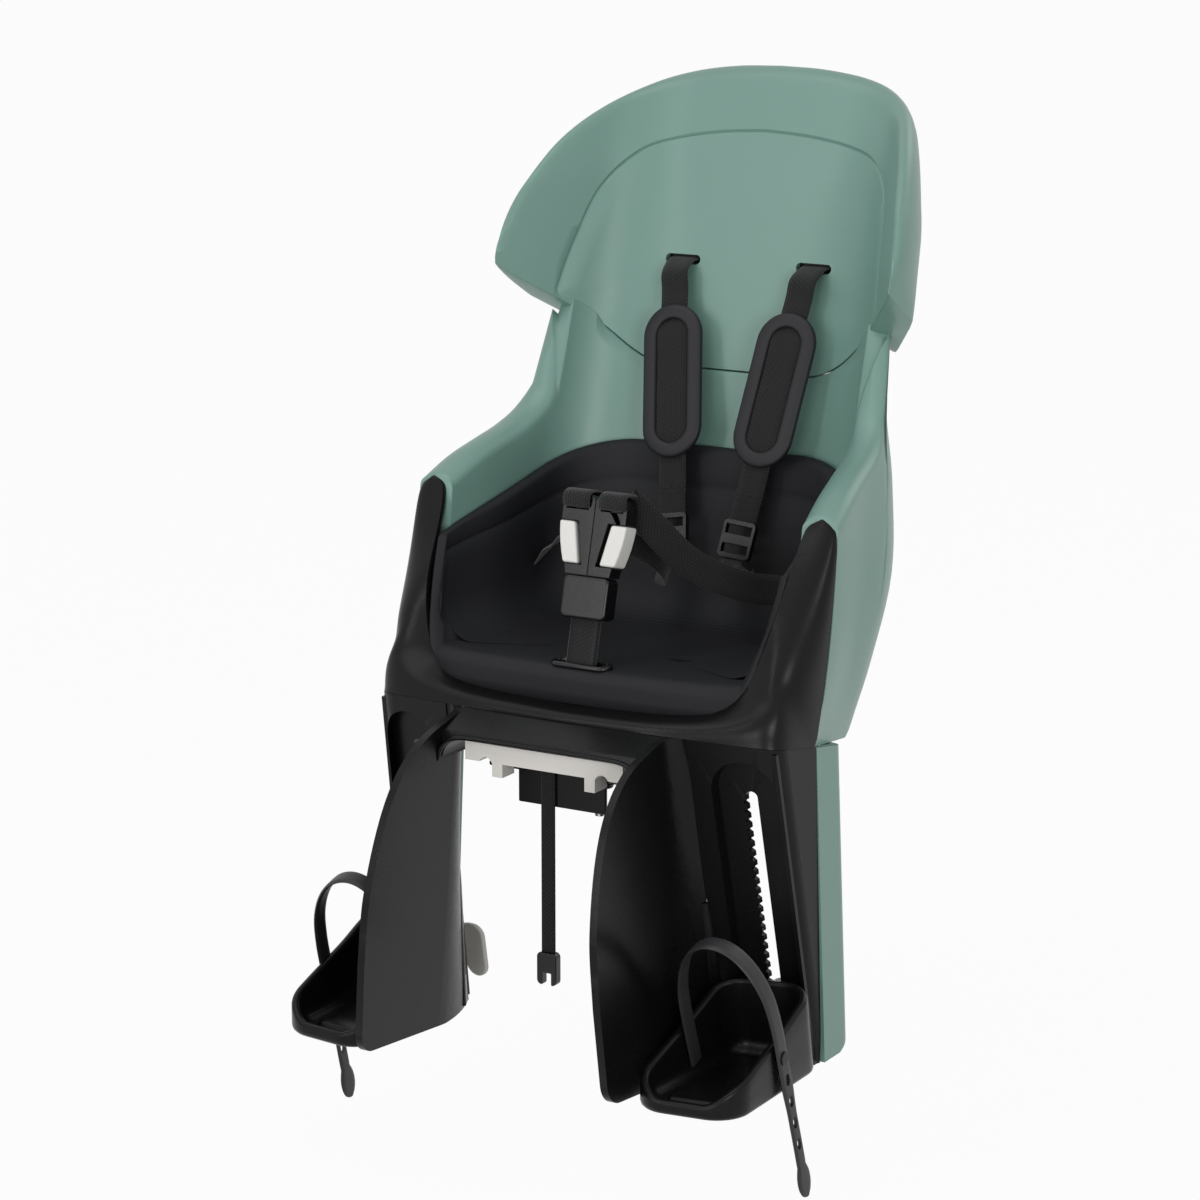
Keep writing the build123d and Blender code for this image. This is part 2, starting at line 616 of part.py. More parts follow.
def build_lock_lever(side):
    """Quarter turn lever: a hub on the stem and a paddle that hangs beside it on the inner side."""
    base = wall_plane(STEM_Z).offset(lever_lift())
    hub = Circle(LEVER_WIDTH / 2)
    paddle = Pos(-LEVER_OFFSET, -LEVER_LENGTH / 2 + 4) * RectangleRounded(LEVER_WIDTH, LEVER_LENGTH, 9)
    neck = Pos(-LEVER_OFFSET / 2, 0) * Rectangle(LEVER_OFFSET, LEVER_WIDTH / 2)
    shape = Rot(0, 0, 180) * Sketch(paddle + hub + neck) if base.y_dir.Z < 0 else paddle + hub + neck
    lever = extrude(base * shape, amount=LEVER_THICK)
    lever -= extrude(base * Circle(STEM_RADIUS + PIVOT_GAP), amount=LEVER_THICK, both=True)
    return sided(lever, side)


def strap_plane():
    """Leaning plane of the foot strap, with its origin over the toe."""
    return Plane(origin=(0, -112, -106.5), x_dir=(1, 0, 0), z_dir=(0, -0.958, -0.286))


def build_foot_strap(side):
    """Rubber strap: over the instep from the inner wall to the peg outside, with a hanging tail."""
    inner = TRAY_IN_X + 3
    outer = TRAY_OUT_X + FOOT_STRAP_THICK / 2 + 0.4
    middle = (inner + outer) / 2
    arch = ThreePointArc((inner + 6, -52), (middle, 0), (outer, -58))
    path = [Line((inner + 6, -92), (inner + 6, -52)), arch, Line((outer, -58), (outer + 1, -120)),
            Line((outer + 1, -120), (outer + 5, -226))]
    band = trace(path, line_width=FOOT_STRAP_THICK)
    strap = extrude(strap_plane() * band, amount=FOOT_STRAP_WIDTH / 2, both=True)
    for index in range(FOOT_STRAP_HOLES):
        strap -= strap_hole(STRAP_PEG_DROP + index * FOOT_STRAP_PITCH)
    return sided(strap, side)


def strap_hole(drop):
    """Round hole across the outer run of the foot strap."""
    centre = strap_plane().from_local_coords((TRAY_OUT_X, -drop, 0))
    return Plane(origin=centre, z_dir=(1, 0, 0)) * Cylinder(STRAP_PEG_RADIUS + PIVOT_GAP, 40)


def build_strap_peg(side):
    """Peg on the tray's outer wall that holds the foot strap."""
    base = strap_plane()
    outer = TRAY_OUT_X
    peg = Plane(origin=base.from_local_coords((outer, -STRAP_PEG_DROP, 0)), z_dir=(1, 0, 0))
    shank = extrude(peg * Circle(STRAP_PEG_RADIUS), amount=FOOT_STRAP_THICK + PEG_STAND)
    cap = extrude(peg.offset(FOOT_STRAP_THICK + PEG_STAND) * Circle(5.5), amount=2.2)
    return sided(shank + cap, side)


def harness_plane(lift):
    """Plane of the shoulder straps, which come away from the backrest towards the buckle."""
    y = inner_back(STRAP_SLOT_Z) - STRAP_LIFT
    normal = Vector(0, -1, STRAP_RECLINE).normalized()
    return Plane(origin=Vector(0, y, STRAP_SLOT_Z) + normal * lift, x_dir=(1, 0, 0), z_dir=normal)


def harness_v(z):
    """Distance along the harness plane, counted up from the strap slots."""
    return (z - STRAP_SLOT_Z) * math.hypot(1, STRAP_RECLINE)


def harness_y(z):
    return inner_back(STRAP_SLOT_Z) - STRAP_LIFT + STRAP_RECLINE * (z - STRAP_SLOT_Z)


def strap_x(end, z):
    """Centre of a shoulder strap, which leans inwards from its slot to its adjuster."""
    share = (STRAP_SLOT_Z - z) / (STRAP_SLOT_Z - STRAP_END_Z)
    return STRAP_SLOT_X + share * (end - STRAP_SLOT_X)


def strap_tilt(end):
    return math.degrees(math.atan2(STRAP_SLOT_X - end, harness_v(STRAP_SLOT_Z) - harness_v(STRAP_END_Z)))


def build_shoulder_strap(side, end):
    run = Line((STRAP_SLOT_X, harness_v(STRAP_SLOT_Z)), (end, harness_v(STRAP_END_Z)))
    strap = extrude(harness_plane(0) * trace(run, line_width=WEBBING), amount=WEBBING_THICK)
    front = inner_back(STRAP_SLOT_Z) - STRAP_LIFT
    depth = STRAP_LIFT + HEAD_WALL
    strap += Pos(STRAP_SLOT_X, front + depth / 2, STRAP_SLOT_Z) * Box(WEBBING, depth, WEBBING_THICK)
    return sided(strap, side)


def build_shoulder_pad(side, end):
    """Ring shaped pad that the shoulder strap runs behind, with two keepers."""
    window = SlotOverall(RING_LENGTH - 2 * RING_RIM, RING_WIDTH - 2 * RING_RIM)
    ring = SlotOverall(RING_LENGTH, RING_WIDTH) - window
    place = Pos(strap_x(end, RING_Z), harness_v(RING_Z)) * Rot(0, 0, 90 - strap_tilt(end))
    base = harness_plane(WEBBING_THICK + PIVOT_GAP)
    pad = extrude(base * place * ring, amount=RING_THICK)
    pad = fillet(pad.edges().filter_by(lambda e: e.length > 20), 2.5)
    return sided(pad, side)


def build_adjuster(side, end):
    """Frame with two windows at the lower end of a shoulder strap."""
    height = ADJUSTER + 2
    frame = RectangleRounded(ADJUSTER, height, 4)
    for place in (-1, 1):
        frame -= Pos(0, place * height / 4) * Rectangle(WEBBING - 1, ADJUSTER / 4)
    end_of_strap = Pos(end, harness_v(STRAP_END_Z)) * Rot(0, 0, -strap_tilt(end))
    body = extrude(harness_plane(-1.5) * end_of_strap * Pos(0, -height / 2 - STRAP_GAP) * frame, amount=6)
    return sided(body, side)


def strap_run(points, width, thick):
    """Flat strap through a few points, each run a flat bar that stands on its edge."""
    strap = None
    for first, last in zip(points, points[1:]):
        a, b = Vector(*first), Vector(*last)
        run = b - a
        flat = run.cross(Vector(0, 0, 1)).normalized()
        place = Plane(origin=(a + b) / 2, x_dir=run.normalized(), z_dir=flat)
        bar = place * Box(run.length + thick, width, thick)
        strap = bar if strap is None else strap + bar
    return strap


def build_lap_strap(side, end):
    """Lap strap from the side wall to the buckle, with the lower end of the shoulder strap sewn to it."""
    tongue = (BUCKLE_HALF / 2, 12.0, BUCKLE_FOOT[2] + BUCKLE_HEIGHT + 4)
    lap = strap_run([tongue, LAP_KNEE_POINT, LAP_WALL_POINT], WEBBING, WEBBING_THICK)
    low = STRAP_END_Z - ADJUSTER - 6
    start = (end, harness_y(low) - LAP_START_LIFT, low)
    turn = (end + 14, start[1] - 45, low - 4)
    lap += strap_run([start, turn, LAP_KNEE_POINT], LOWER_WEBBING, WEBBING_THICK)
    return sided(lap, side)


def build_strap_keeper():
    """Rod behind the headrest that the shoulder straps loop round."""
    y = inner_back(STRAP_SLOT_Z) + HEAD_WALL + KEEPER_RADIUS + 0.3
    return Pos(0, y, STRAP_SLOT_Z) * Rot(0, 90, 0) * Cylinder(KEEPER_RADIUS, KEEPER_LENGTH)


def buckle_plane(lift=0.0):
    return Plane(origin=BUCKLE_FOOT, x_dir=(1, 0, 0), z_dir=(0, -1, BUCKLE_LEAN)).offset(lift)


def slab(face, thick):
    """Slab of the buckle, centred on its middle plane."""
    return extrude(buckle_plane(-thick / 2) * face, amount=thick)


def buckle_edge(v):
    """Half width of the buckle at a distance up its middle plane."""
    share = (v - SLEEVE_TOP) / (BUCKLE_SHOULDER - SLEEVE_TOP)
    return BUCKLE_WAIST + (BUCKLE_HALF - BUCKLE_WAIST) * min(1.0, max(0.0, share))


def button_face(grow, travel):
    low, high = 27.0 - grow, 60.0 + grow
    deep = BUTTON_DEPTH + grow + travel
    proud = 1.6 if grow == 0 else 6.0
    return polygon((buckle_edge(low) - deep, low), (buckle_edge(low) + proud, low),
                   (buckle_edge(high) + proud, high), (buckle_edge(high) - deep, high))


def build_buckle_tongue(side):
    top = BUCKLE_HEIGHT + 16
    middle = TONGUE_GAP / 2
    foot = SLEEVE_TOP + TONGUE_GAP / 2
    half = polygon((middle, foot), (BUCKLE_WAIST, foot), (BUCKLE_HALF, BUCKLE_SHOULDER),
                   (BUCKLE_HALF, top - 6), (BUCKLE_HALF - 6, top), (middle, top))
    body = slab(half, BUCKLE_THICK)
    slot = Pos(BUCKLE_HALF / 2, top - 9) * RectangleRounded(BUCKLE_HALF - 8, 6, 2)
    body -= slab(slot, BUCKLE_THICK + 2)
    body -= slab(button_face(PIVOT_GAP, BUTTON_TRAVEL + SPRING_ROOM), BUCKLE_THICK - 5)
    return sided(body, side)


def build_buckle_button(side):
    return sided(slab(button_face(0, 0), BUCKLE_THICK - 6), side)


def build_button_spring(side):
    """Short coil behind a button, drawn as its closed length."""
    base = buckle_plane()
    v = 43.0
    lean = (buckle_edge(v + SPRING_RADIUS) - buckle_edge(v - SPRING_RADIUS)) / 2
    start = buckle_edge(v) - BUTTON_DEPTH - BUTTON_TRAVEL - SPRING_ROOM - PIVOT_GAP + lean + 0.1
    length = SPRING_ROOM - 2 * lean - PIVOT_GAP
    ring = Plane(origin=base.from_local_coords((start, v, 0)), z_dir=(1, 0, 0))
    return sided(extrude(ring * (Circle(SPRING_RADIUS) - Circle(SPRING_RADIUS - 1)), amount=length), side)


def build_buckle_sleeve():
    face = RectangleRounded(2 * BUCKLE_WAIST + 1, SLEEVE_HEIGHT, 5)
    return slab(Pos(0, SLEEVE_TOP - SLEEVE_HEIGHT / 2) * face, BUCKLE_THICK + 1)


def build_crotch_post():
    foot = -(BUCKLE_FOOT[2] - PAD_SEAT_Z - 5) * math.hypot(1, BUCKLE_LEAN)
    height = SLEEVE_TOP - SLEEVE_HEIGHT - POST_GAP - foot
    return slab(Pos(0, foot + height / 2) * Rectangle(26, height), 8)


def build_crotch_plate():
    y = BUCKLE_FOOT[1] - BUCKLE_LEAN * (BUCKLE_FOOT[2] - PAD_SEAT_Z)
    plate = extrude(Pos(0, y + 4, PAD_SEAT_Z + 0.3) * SlotOverall(50, 15), amount=3.4)
    return plate


def build_carrier_base():
    """Block between the seat deck and the rails, with flanges over the rails."""
    top = DECK_Z - 0.2
    shoulder = RAIL_Z + RAIL_RADIUS + 2.5
    inner = RAIL_X - RAIL_RADIUS - HOOK_WIDTH + 6
    face = polygon((-SADDLE_HALF, shoulder), (-inner, shoulder), (-inner, 0), (inner, 0), (inner, shoulder),
                   (SADDLE_HALF, shoulder), (SADDLE_HALF, top), (-SADDLE_HALF, top))
    block = extrude(Plane.XZ.offset(-BASE_FRONT_Y) * face, amount=2 * BASE_FRONT_Y)
    block -= Cylinder(SCREW_RADIUS, 60)
    return block - over_seam(CLAMP_GAP)


def build_saddle(side):
    """Light grey bar across the rails, with two half round seats and two hooks inside the rails."""
    hook_out = RAIL_X - RAIL_RADIUS
    bar = Pos(0, (DECK_Z - 0.2) / 2) * Rectangle(2 * SADDLE_HALF, DECK_Z - 0.2)
    for hand in (-1, 1):
        hook = Rectangle(HOOK_WIDTH, HOOK_DROP + 4)
        bar += Pos(hand * (hook_out - HOOK_WIDTH / 2), 2 - HOOK_DROP / 2) * hook
        bar -= Pos(hand * RAIL_X, RAIL_Z) * Circle(RAIL_RADIUS)
    solid = extrude(Plane.XZ.offset(-SADDLE_FRONT_Y) * bar, amount=-SADDLE_DEPTH)
    solid = solid if side < 0 else mirror(solid, about=Plane.XZ)
    return solid - over_seam(CLAMP_GAP)


def build_clamp_plate():
    """Plate under the rails, drawn up by the hand knob, with a lip hanging at its front."""
    top = RAIL_Z - RAIL_RADIUS - 0.3
    plate = Pos(0, 0, top - PLATE_THICK / 2) * Box(2 * PLATE_HALF, 2 * 56, PLATE_THICK)
    lip = Pos(0, -58, (top + PLATE_LIP_Z) / 2) * Box(80, 4, top - PLATE_LIP_Z)
    plate += lip
    plate -= Cylinder(SCREW_RADIUS + 0.5, 100)
    return plate


def build_clamp_screw():
    foot = RAIL_Z - RAIL_RADIUS - PLATE_THICK - 46
    return Pos(0, 0, (DECK_Z - 0.4 + foot) / 2) * Cylinder(SCREW_RADIUS, DECK_Z - 0.4 - foot)


def build_clamp_knob():
    """Six lobed hand knob under the plate."""
    top = RAIL_Z - RAIL_RADIUS - 0.3 - PLATE_THICK - 0.3
    face = Sketch() + Circle(KNOB_RADIUS - 3)
    for index in range(6):
        face += Rot(0, 0, 60 * index) * Pos(KNOB_RADIUS - 6, 0) * Circle(6)
    knob = extrude(Pos(0, 0, top) * face, amount=-16)
    knob += extrude(Pos(0, 0, top - 16) * Circle(11), amount=-5)
    return knob - Cylinder(SCREW_RADIUS + THREAD_PLAY, 200)


def build_base_screws():
    heads = []
    shoulder = RAIL_Z + RAIL_RADIUS + 2.5
    for x in (-SADDLE_HALF + 9, SADDLE_HALF - 9):
        for y in (-40, 40):
            heads.append(Pos(x, y, shoulder - 1) * Cylinder(4, 2))
    return Compound(heads)


def safety_y():
    """Middle plane of the safety strap, which hangs down the front of the carrier block."""
    return BASE_FRONT_Y - CLAMP_GAP - WEBBING_THICK / 2


def build_safety_strap():
    top = DECK_Z - 1
    length = top - SAFETY_FOOT_Z
    return Pos(SAFETY_X, safety_y(), top - length / 2) * Box(SAFETY_WEBBING, WEBBING_THICK, length)


def build_safety_buckle():
    """Half of a side release buckle at the strap's end."""
    width, length, thick = SAFETY_BUCKLE
    face = RectangleRounded(width, length, 4) - Pos(0, -10) * Rectangle(width - 10, 13)
    low = SAFETY_FOOT_Z - length / 2 - CLAMP_GAP
    return extrude(Plane.XZ.offset(-safety_y()) * Pos(SAFETY_X, low) * face, amount=thick / 2, both=True)


if __name__ == "__main__":
    os.makedirs("parts", exist_ok=True)
    nodes = {
        "headrest_shell": build_headrest(),
        "back_shell": build_back_shell(),
        "front_bezel": build_front_bezel(),
        "seat_pad": build_seat_pad(),
        "leg_frame": build_leg_frame(),
        "strap_keeper": build_strap_keeper(),
        "buckle_sleeve": build_buckle_sleeve(),
        "crotch_post": build_crotch_post(),
        "crotch_plate": build_crotch_plate(),
        "carrier_base": build_carrier_base(),
        "saddle_front": build_saddle(-1),
        "saddle_rear": build_saddle(1),
        "clamp_plate": build_clamp_plate(),
        "clamp_screw": build_clamp_screw(),
        "clamp_knob": build_clamp_knob(),
        "base_screws": build_base_screws(),
        "safety_strap": build_safety_strap(),
        "safety_buckle": build_safety_buckle(),
    }
    for word, side in (("left", -1), ("right", 1)):
        end = STRAP_END_X[word]
        nodes["leg_cover_" + word] = build_leg_cover(side)
        nodes["foot_tray_" + word] = build_foot_tray(side)
        nodes["lock_stem_" + word] = build_lock_stem(side)
        nodes["lock_lever_" + word] = build_lock_lever(side)
        nodes["foot_strap_" + word] = build_foot_strap(side)
        nodes["strap_peg_" + word] = build_strap_peg(side)
        nodes["shoulder_strap_" + word] = build_shoulder_strap(side, end)
        nodes["shoulder_pad_" + word] = build_shoulder_pad(side, end)
        nodes["strap_adjuster_" + word] = build_adjuster(side, end)
        nodes["lap_strap_" + word] = build_lap_strap(side, end)
        nodes["buckle_tongue_" + word] = build_buckle_tongue(side)
        nodes["buckle_button_" + word] = build_buckle_button(side)
        nodes["button_spring_" + word] = build_button_spring(side)
    for name, solid in nodes.items():
        export_step(solid, "parts/" + name + ".step")
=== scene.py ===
"""Looks of a rear child seat for a bicycle carrier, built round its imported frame."""

from __future__ import annotations

import json
import logging
import math
from dataclasses import dataclass
from enum import Enum
from typing import Callable, Iterable, Sequence

import bmesh
import bpy
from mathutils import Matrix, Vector

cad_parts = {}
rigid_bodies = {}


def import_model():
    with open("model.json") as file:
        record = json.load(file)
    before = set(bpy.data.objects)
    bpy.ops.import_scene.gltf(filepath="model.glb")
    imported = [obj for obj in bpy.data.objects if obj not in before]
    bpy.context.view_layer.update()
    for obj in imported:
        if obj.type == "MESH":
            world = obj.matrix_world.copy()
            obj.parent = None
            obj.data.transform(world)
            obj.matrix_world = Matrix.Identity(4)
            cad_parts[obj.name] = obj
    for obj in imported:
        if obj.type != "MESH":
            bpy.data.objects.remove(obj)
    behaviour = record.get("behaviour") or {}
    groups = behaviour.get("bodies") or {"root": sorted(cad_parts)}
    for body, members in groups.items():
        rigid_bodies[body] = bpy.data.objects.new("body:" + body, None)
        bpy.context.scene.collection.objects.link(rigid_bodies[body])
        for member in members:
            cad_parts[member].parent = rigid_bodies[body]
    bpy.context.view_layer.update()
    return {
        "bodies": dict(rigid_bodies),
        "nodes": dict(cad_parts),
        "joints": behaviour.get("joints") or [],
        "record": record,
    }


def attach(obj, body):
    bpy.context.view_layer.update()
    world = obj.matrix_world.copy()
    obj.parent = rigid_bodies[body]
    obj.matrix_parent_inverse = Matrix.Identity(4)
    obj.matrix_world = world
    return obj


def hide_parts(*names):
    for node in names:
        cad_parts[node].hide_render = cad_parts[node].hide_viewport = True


LOG = logging.getLogger("child_seat")
MM = 0.001
SIDES = {"left": -1, "right": 1}
MERGE = 2e-6  # points this close, in metres, are one
COPY_MERGE = 1e-6
EDGE_ANGLE = 32.0  # angles, in degrees, up to which faces are shaded as one
CUT_ANGLE = 35.0
STRAP_ANGLE = 50.0
ROUND_ANGLE = 60.0
CROWN = 1.1  # height of a strap's middle against its edges
Pair = tuple[float, float]
Triple = tuple[float, float, float]
Socket = bpy.types.NodeSocket


class Slot(Enum):
    """Material slots of the record."""

    SHELL = "shell_green"
    FRAME = "frame_black"
    PAD = "pad_grey"
    WEBBING = "webbing_black"
    RING = "ring_rubber"
    STRAP = "strap_rubber"
    CLIP = "clip_black"
    BUTTON = "button_grey"
    CLAMP = "clamp_grey"
    PLATE = "clamp_black"
    STEEL = "bright_steel"


class NodeTree:
    """A material's nodes, with short calls to add and link them."""

    def __init__(self, name: str) -> None:
        """Starts an empty material.

        Args:
            name: the material's name.
        """
        self.material = bpy.data.materials.new(name)
        self.material.use_nodes = True
        self.tree = self.material.node_tree
        self.shader = self.tree.nodes["Principled BSDF"]

    def add(self, kind: str, **values: object) -> bpy.types.Node:
        """Adds a node.

        Args:
            kind: the node's type name.
            values: properties of the node, or inputs by lower case name.

        Returns:
            The new node.
        """
        node = self.tree.nodes.new(kind)
        for key, value in values.items():
            if hasattr(node, key):
                setattr(node, key, value)
            else:
                node.inputs[key.replace("_", " ").title()].default_value = value
        return node

    def link(self, source: Socket, target: Socket) -> None:
        """Links two sockets."""
        self.tree.links.new(source, target)

    def ramp(self, source: Socket, low: float, high: float, start: float = 0.0, end: float = 1.0
             ) -> Socket:
        """Maps a value from start..end to low..high.

        Args:
            source: the value's socket.
            low: result at start.
            high: result at end.
            start: lower end of the input.
            end: upper end of the input.

        Returns:
            The socket of the mapped value.
        """
        node = self.add("ShaderNodeMapRange")
        for key, value in (("From Min", start), ("From Max", end), ("To Min", low), ("To Max", high)):
            node.inputs[key].default_value = value
        self.link(source, node.inputs["Value"])
        return node.outputs["Result"]

    def math(self, kind: str, first: Socket, second: Socket | float
             ) -> Socket:
        """Joins two values by an arithmetic step.

        Args:
            kind: the Math node's operation.
            first: the first value's socket.
            second: the second value, or its socket.

        Returns:
            The result's socket.
        """
        node = self.add("ShaderNodeMath", operation=kind)
        self.link(first, node.inputs[0])
        if isinstance(second, float):
            node.inputs[1].default_value = second
        else:
            self.link(second, node.inputs[1])
        return node.outputs[0]

    def shade(self, colour: Sequence[float], dark: float, light: float, source: Socket) -> None:
        """Varies the base colour between a darker and a lighter tone of it.

        Args:
            colour: the base colour.
            dark: share of the colour where the value is 0.
            light: share of the colour where the value is 1.
            source: the value's socket.
        """
        mix = self.add("ShaderNodeMix", data_type="RGBA")
        for socket, share in ((mix.inputs[6], dark), (mix.inputs[7], light)):
            socket.default_value = (*[min(1.0, c * share) for c in colour], 1.0)
        self.link(source, mix.inputs[0])
        self.link(mix.outputs[2], self.shader.inputs["Base Color"])

    def bump(self, height: Socket, strength: float, distance: float,
             under: Socket | None = None) -> Socket:
        """Adds a bump.

        Args:
            height: the height's socket.
            strength: share of the bump that is used.
            distance: depth in metres.
            under: normal of another bump that lies under this one.

        Returns:
            The normal's socket.
        """
        node = self.add("ShaderNodeBump", strength=strength, distance=distance)
        self.link(height, node.inputs["Height"])
        if under is not None:
            self.link(under, node.inputs["Normal"])
        return node.outputs["Normal"]


@dataclass(frozen=True)
class Moulding:
    """Moulded plastic or rubber: a fine mould grain and a slow change of tone."""

    name: str
    colour: Triple
    roughness: float
    grain: float = 1800.0
    depth: float = 0.00006
    tone: float = 0.06
    coat: float = 0.0
    specular: float = 0.5

    def material(self) -> bpy.types.Material:
        """Builds the material.

        Returns:
            The material, on Object coordinates.
        """
        nodes = NodeTree(self.name)
        place = nodes.add("ShaderNodeTexCoord")
        slow = nodes.add("ShaderNodeTexNoise", scale=9.0, detail=2.0)
        fine = nodes.add("ShaderNodeTexNoise", scale=self.grain, detail=1.0)
        for node in (slow, fine):
            nodes.link(place.outputs["Object"], node.inputs["Vector"])
        nodes.shade(self.colour, 1 - self.tone, 1 + self.tone, slow.outputs["Fac"])
        rough = nodes.ramp(fine.outputs["Fac"], self.roughness - 0.05, self.roughness + 0.05, 0.3, 0.7)
        nodes.link(rough, nodes.shader.inputs["Roughness"])
        nodes.link(nodes.bump(fine.outputs["Fac"], 0.5, self.depth), nodes.shader.inputs["Normal"])
        nodes.shader.inputs["Specular IOR Level"].default_value = self.specular
        if self.coat:
            nodes.shader.inputs["Coat Weight"].default_value = self.coat
            nodes.shader.inputs["Coat Roughness"].default_value = 0.15
        return nodes.material


@dataclass(frozen=True)
class Foam:
    """Soft moulded foam with fine waved ribs on its level faces."""

    name: str
    colour: Triple
    roughness: float = 0.62
    ribs: float = 420.0

    def material(self) -> bpy.types.Material:
        """Builds the material.

        Returns:
            The material, on Object coordinates.
        """
        nodes = NodeTree(self.name)
        place = nodes.add("ShaderNodeTexCoord")
        slow = nodes.add("ShaderNodeTexNoise", scale=14.0, detail=3.0)
        fine = nodes.add("ShaderNodeTexNoise", scale=2600.0, detail=1.0)
        waves = nodes.add("ShaderNodeTexWave", wave_type="BANDS", bands_direction="Y", scale=self.ribs / 6.2832,
                          distortion=2.0, detail=0.0, detail_scale=0.3)
        for node in (slow, fine, waves):
            nodes.link(place.outputs["Object"], node.inputs["Vector"])
        facing = nodes.add("ShaderNodeNewGeometry")
        parts = nodes.add("ShaderNodeSeparateXYZ")
        nodes.link(facing.outputs["Normal"], parts.inputs["Vector"])
        level = nodes.ramp(parts.outputs["Z"], 0.0, 1.0, 0.80, 0.95)
        ribs = nodes.math("MULTIPLY", waves.outputs["Fac"], level)
        nodes.shade(self.colour, 0.92, 1.10, slow.outputs["Fac"])
        nodes.link(nodes.ramp(fine.outputs["Fac"], self.roughness - 0.06, self.roughness + 0.08),
                   nodes.shader.inputs["Roughness"])
        grain = nodes.bump(fine.outputs["Fac"], 0.35, 0.00005)
        nodes.link(nodes.bump(ribs, 0.6, 0.00025, grain), nodes.shader.inputs["Normal"])
        nodes.shader.inputs["Specular IOR Level"].default_value = 0.22
        return nodes.material


@dataclass(frozen=True)
class Woven:
    """Woven webbing: ribs along its length crossed by picks, on the strap's own UV map in metres."""

    name: str
    colour: Triple
    rib: float = 0.0022
    pick: float = 0.0017

    def material(self) -> bpy.types.Material:
        """Builds the material.

        Returns:
            The material, on the UV map.
        """
        nodes = NodeTree(self.name)
        place = nodes.add("ShaderNodeUVMap", uv_map="weave")
        noise = nodes.add("ShaderNodeTexNoise", scale=900.0, detail=2.0)
        ribs = nodes.add("ShaderNodeTexWave", wave_type="BANDS", bands_direction="X", scale=0.314 / self.rib)
        picks = nodes.add("ShaderNodeTexWave", wave_type="BANDS", bands_direction="DIAGONAL", scale=0.314 / self.pick)
        for node in (noise, ribs, picks):
            nodes.link(place.outputs["UV"], node.inputs["Vector"])
        weave = nodes.math("MULTIPLY", ribs.outputs["Fac"], picks.outputs["Fac"])
        fuzzy = nodes.math("MULTIPLY", weave, noise.outputs["Fac"])
        nodes.shade(self.colour, 0.25, 6.5, fuzzy)
        nodes.link(nodes.bump(weave, 0.8, 0.0003), nodes.shader.inputs["Normal"])
        nodes.shader.inputs["Roughness"].default_value = 0.82
        nodes.shader.inputs["Specular IOR Level"].default_value = 0.3
        nodes.shader.inputs["Sheen Weight"].default_value = 0.15
        return nodes.material


@dataclass(frozen=True)
class Steel:
    """Plain bright steel with fine drawn lines."""

    name: str
    colour: Triple
    roughness: float = 0.32

    def material(self) -> bpy.types.Material:
        """Builds the material.

        Returns:
            The material, on Object coordinates.
        """
        nodes = NodeTree(self.name)
        place = nodes.add("ShaderNodeTexCoord")
        stretch = nodes.add("ShaderNodeMapping", scale=(60.0, 2400.0, 2400.0))
        lines = nodes.add("ShaderNodeTexNoise", scale=1.0, detail=3.0)
        nodes.link(place.outputs["Object"], stretch.inputs["Vector"])
        nodes.link(stretch.outputs["Vector"], lines.inputs["Vector"])
        nodes.shade(self.colour, 0.85, 1.1, lines.outputs["Fac"])
        nodes.link(nodes.ramp(lines.outputs["Fac"], self.roughness - 0.08, self.roughness + 0.1),
                   nodes.shader.inputs["Roughness"])
        nodes.shader.inputs["Metallic"].default_value = 1.0
        return nodes.material


FINISHES = {
    Slot.SHELL: Moulding("shell_sage_green", (0.150, 0.270, 0.230), 0.38, tone=0.03, specular=0.5),
    Slot.FRAME: Moulding("frame_satin_black", (0.0040, 0.0040, 0.0043), 0.30, tone=0.1, specular=0.16),
    Slot.PAD: Foam("pad_soft_grey", (0.0100, 0.0102, 0.0122)),
    Slot.WEBBING: Woven("webbing_black", (0.0045, 0.0045, 0.005)),
    Slot.RING: Moulding("ring_rubber_grey", (0.015, 0.015, 0.017), 0.5, specular=0.25),
    Slot.STRAP: Moulding("foot_strap_rubber", (0.022, 0.022, 0.024), 0.46, specular=0.3),
    Slot.CLIP: Moulding("clip_gloss_black", (0.004, 0.004, 0.0045), 0.24, coat=0.1, specular=0.3),
    Slot.BUTTON: Moulding("button_warm_grey", (0.66, 0.65, 0.62), 0.42),
    Slot.CLAMP: Moulding("clamp_warm_grey", (0.62, 0.60, 0.56), 0.42),
    Slot.PLATE: Moulding("plate_painted_black", (0.004, 0.004, 0.004), 0.38, specular=0.2),
    Slot.STEEL: Steel("bright_steel", (0.55, 0.55, 0.56)),
}


def blend(first: float, last: float, share: float) -> float:
    """Value at a share of the way from first to last."""
    return first + (last - first) * share


def soft_step(value: float, low: float, high: float) -> float:
    """Rises smoothly from 0 at low to 1 at high."""
    share = min(1.0, max(0.0, (value - low) / (high - low)))
    return share * share * (3 - 2 * share)


def along_table(table: Sequence[Pair], value: float) -> float:
    """Smooth curve through a short table.

    Args:
        table: pairs of place and value, by rising place.
        value: the place.

    Returns:
        The value there, held level beyond the ends.
    """
    if value <= table[0][0]:
        return table[0][1]
    if value >= table[-1][0]:
        return table[-1][1]
    index = max(i for i, pair in enumerate(table[:-1]) if pair[0] <= value)
    (a, p), (b, q) = table[index], table[index + 1]

    def slope(i: int) -> float:
        """Slope of the curve at a point of the table."""
        low, high = max(0, i - 1), min(len(table) - 1, i + 1)
        return (table[high][1] - table[low][1]) / (table[high][0] - table[low][0])

    t, span = (value - a) / (b - a), b - a
    return ((1 + 2 * t) * (1 - t) ** 2 * p + t * (1 - t) ** 2 * span * slope(index)
            + t * t * (3 - 2 * t) * q + t * t * (t - 1) * span * slope(index + 1))


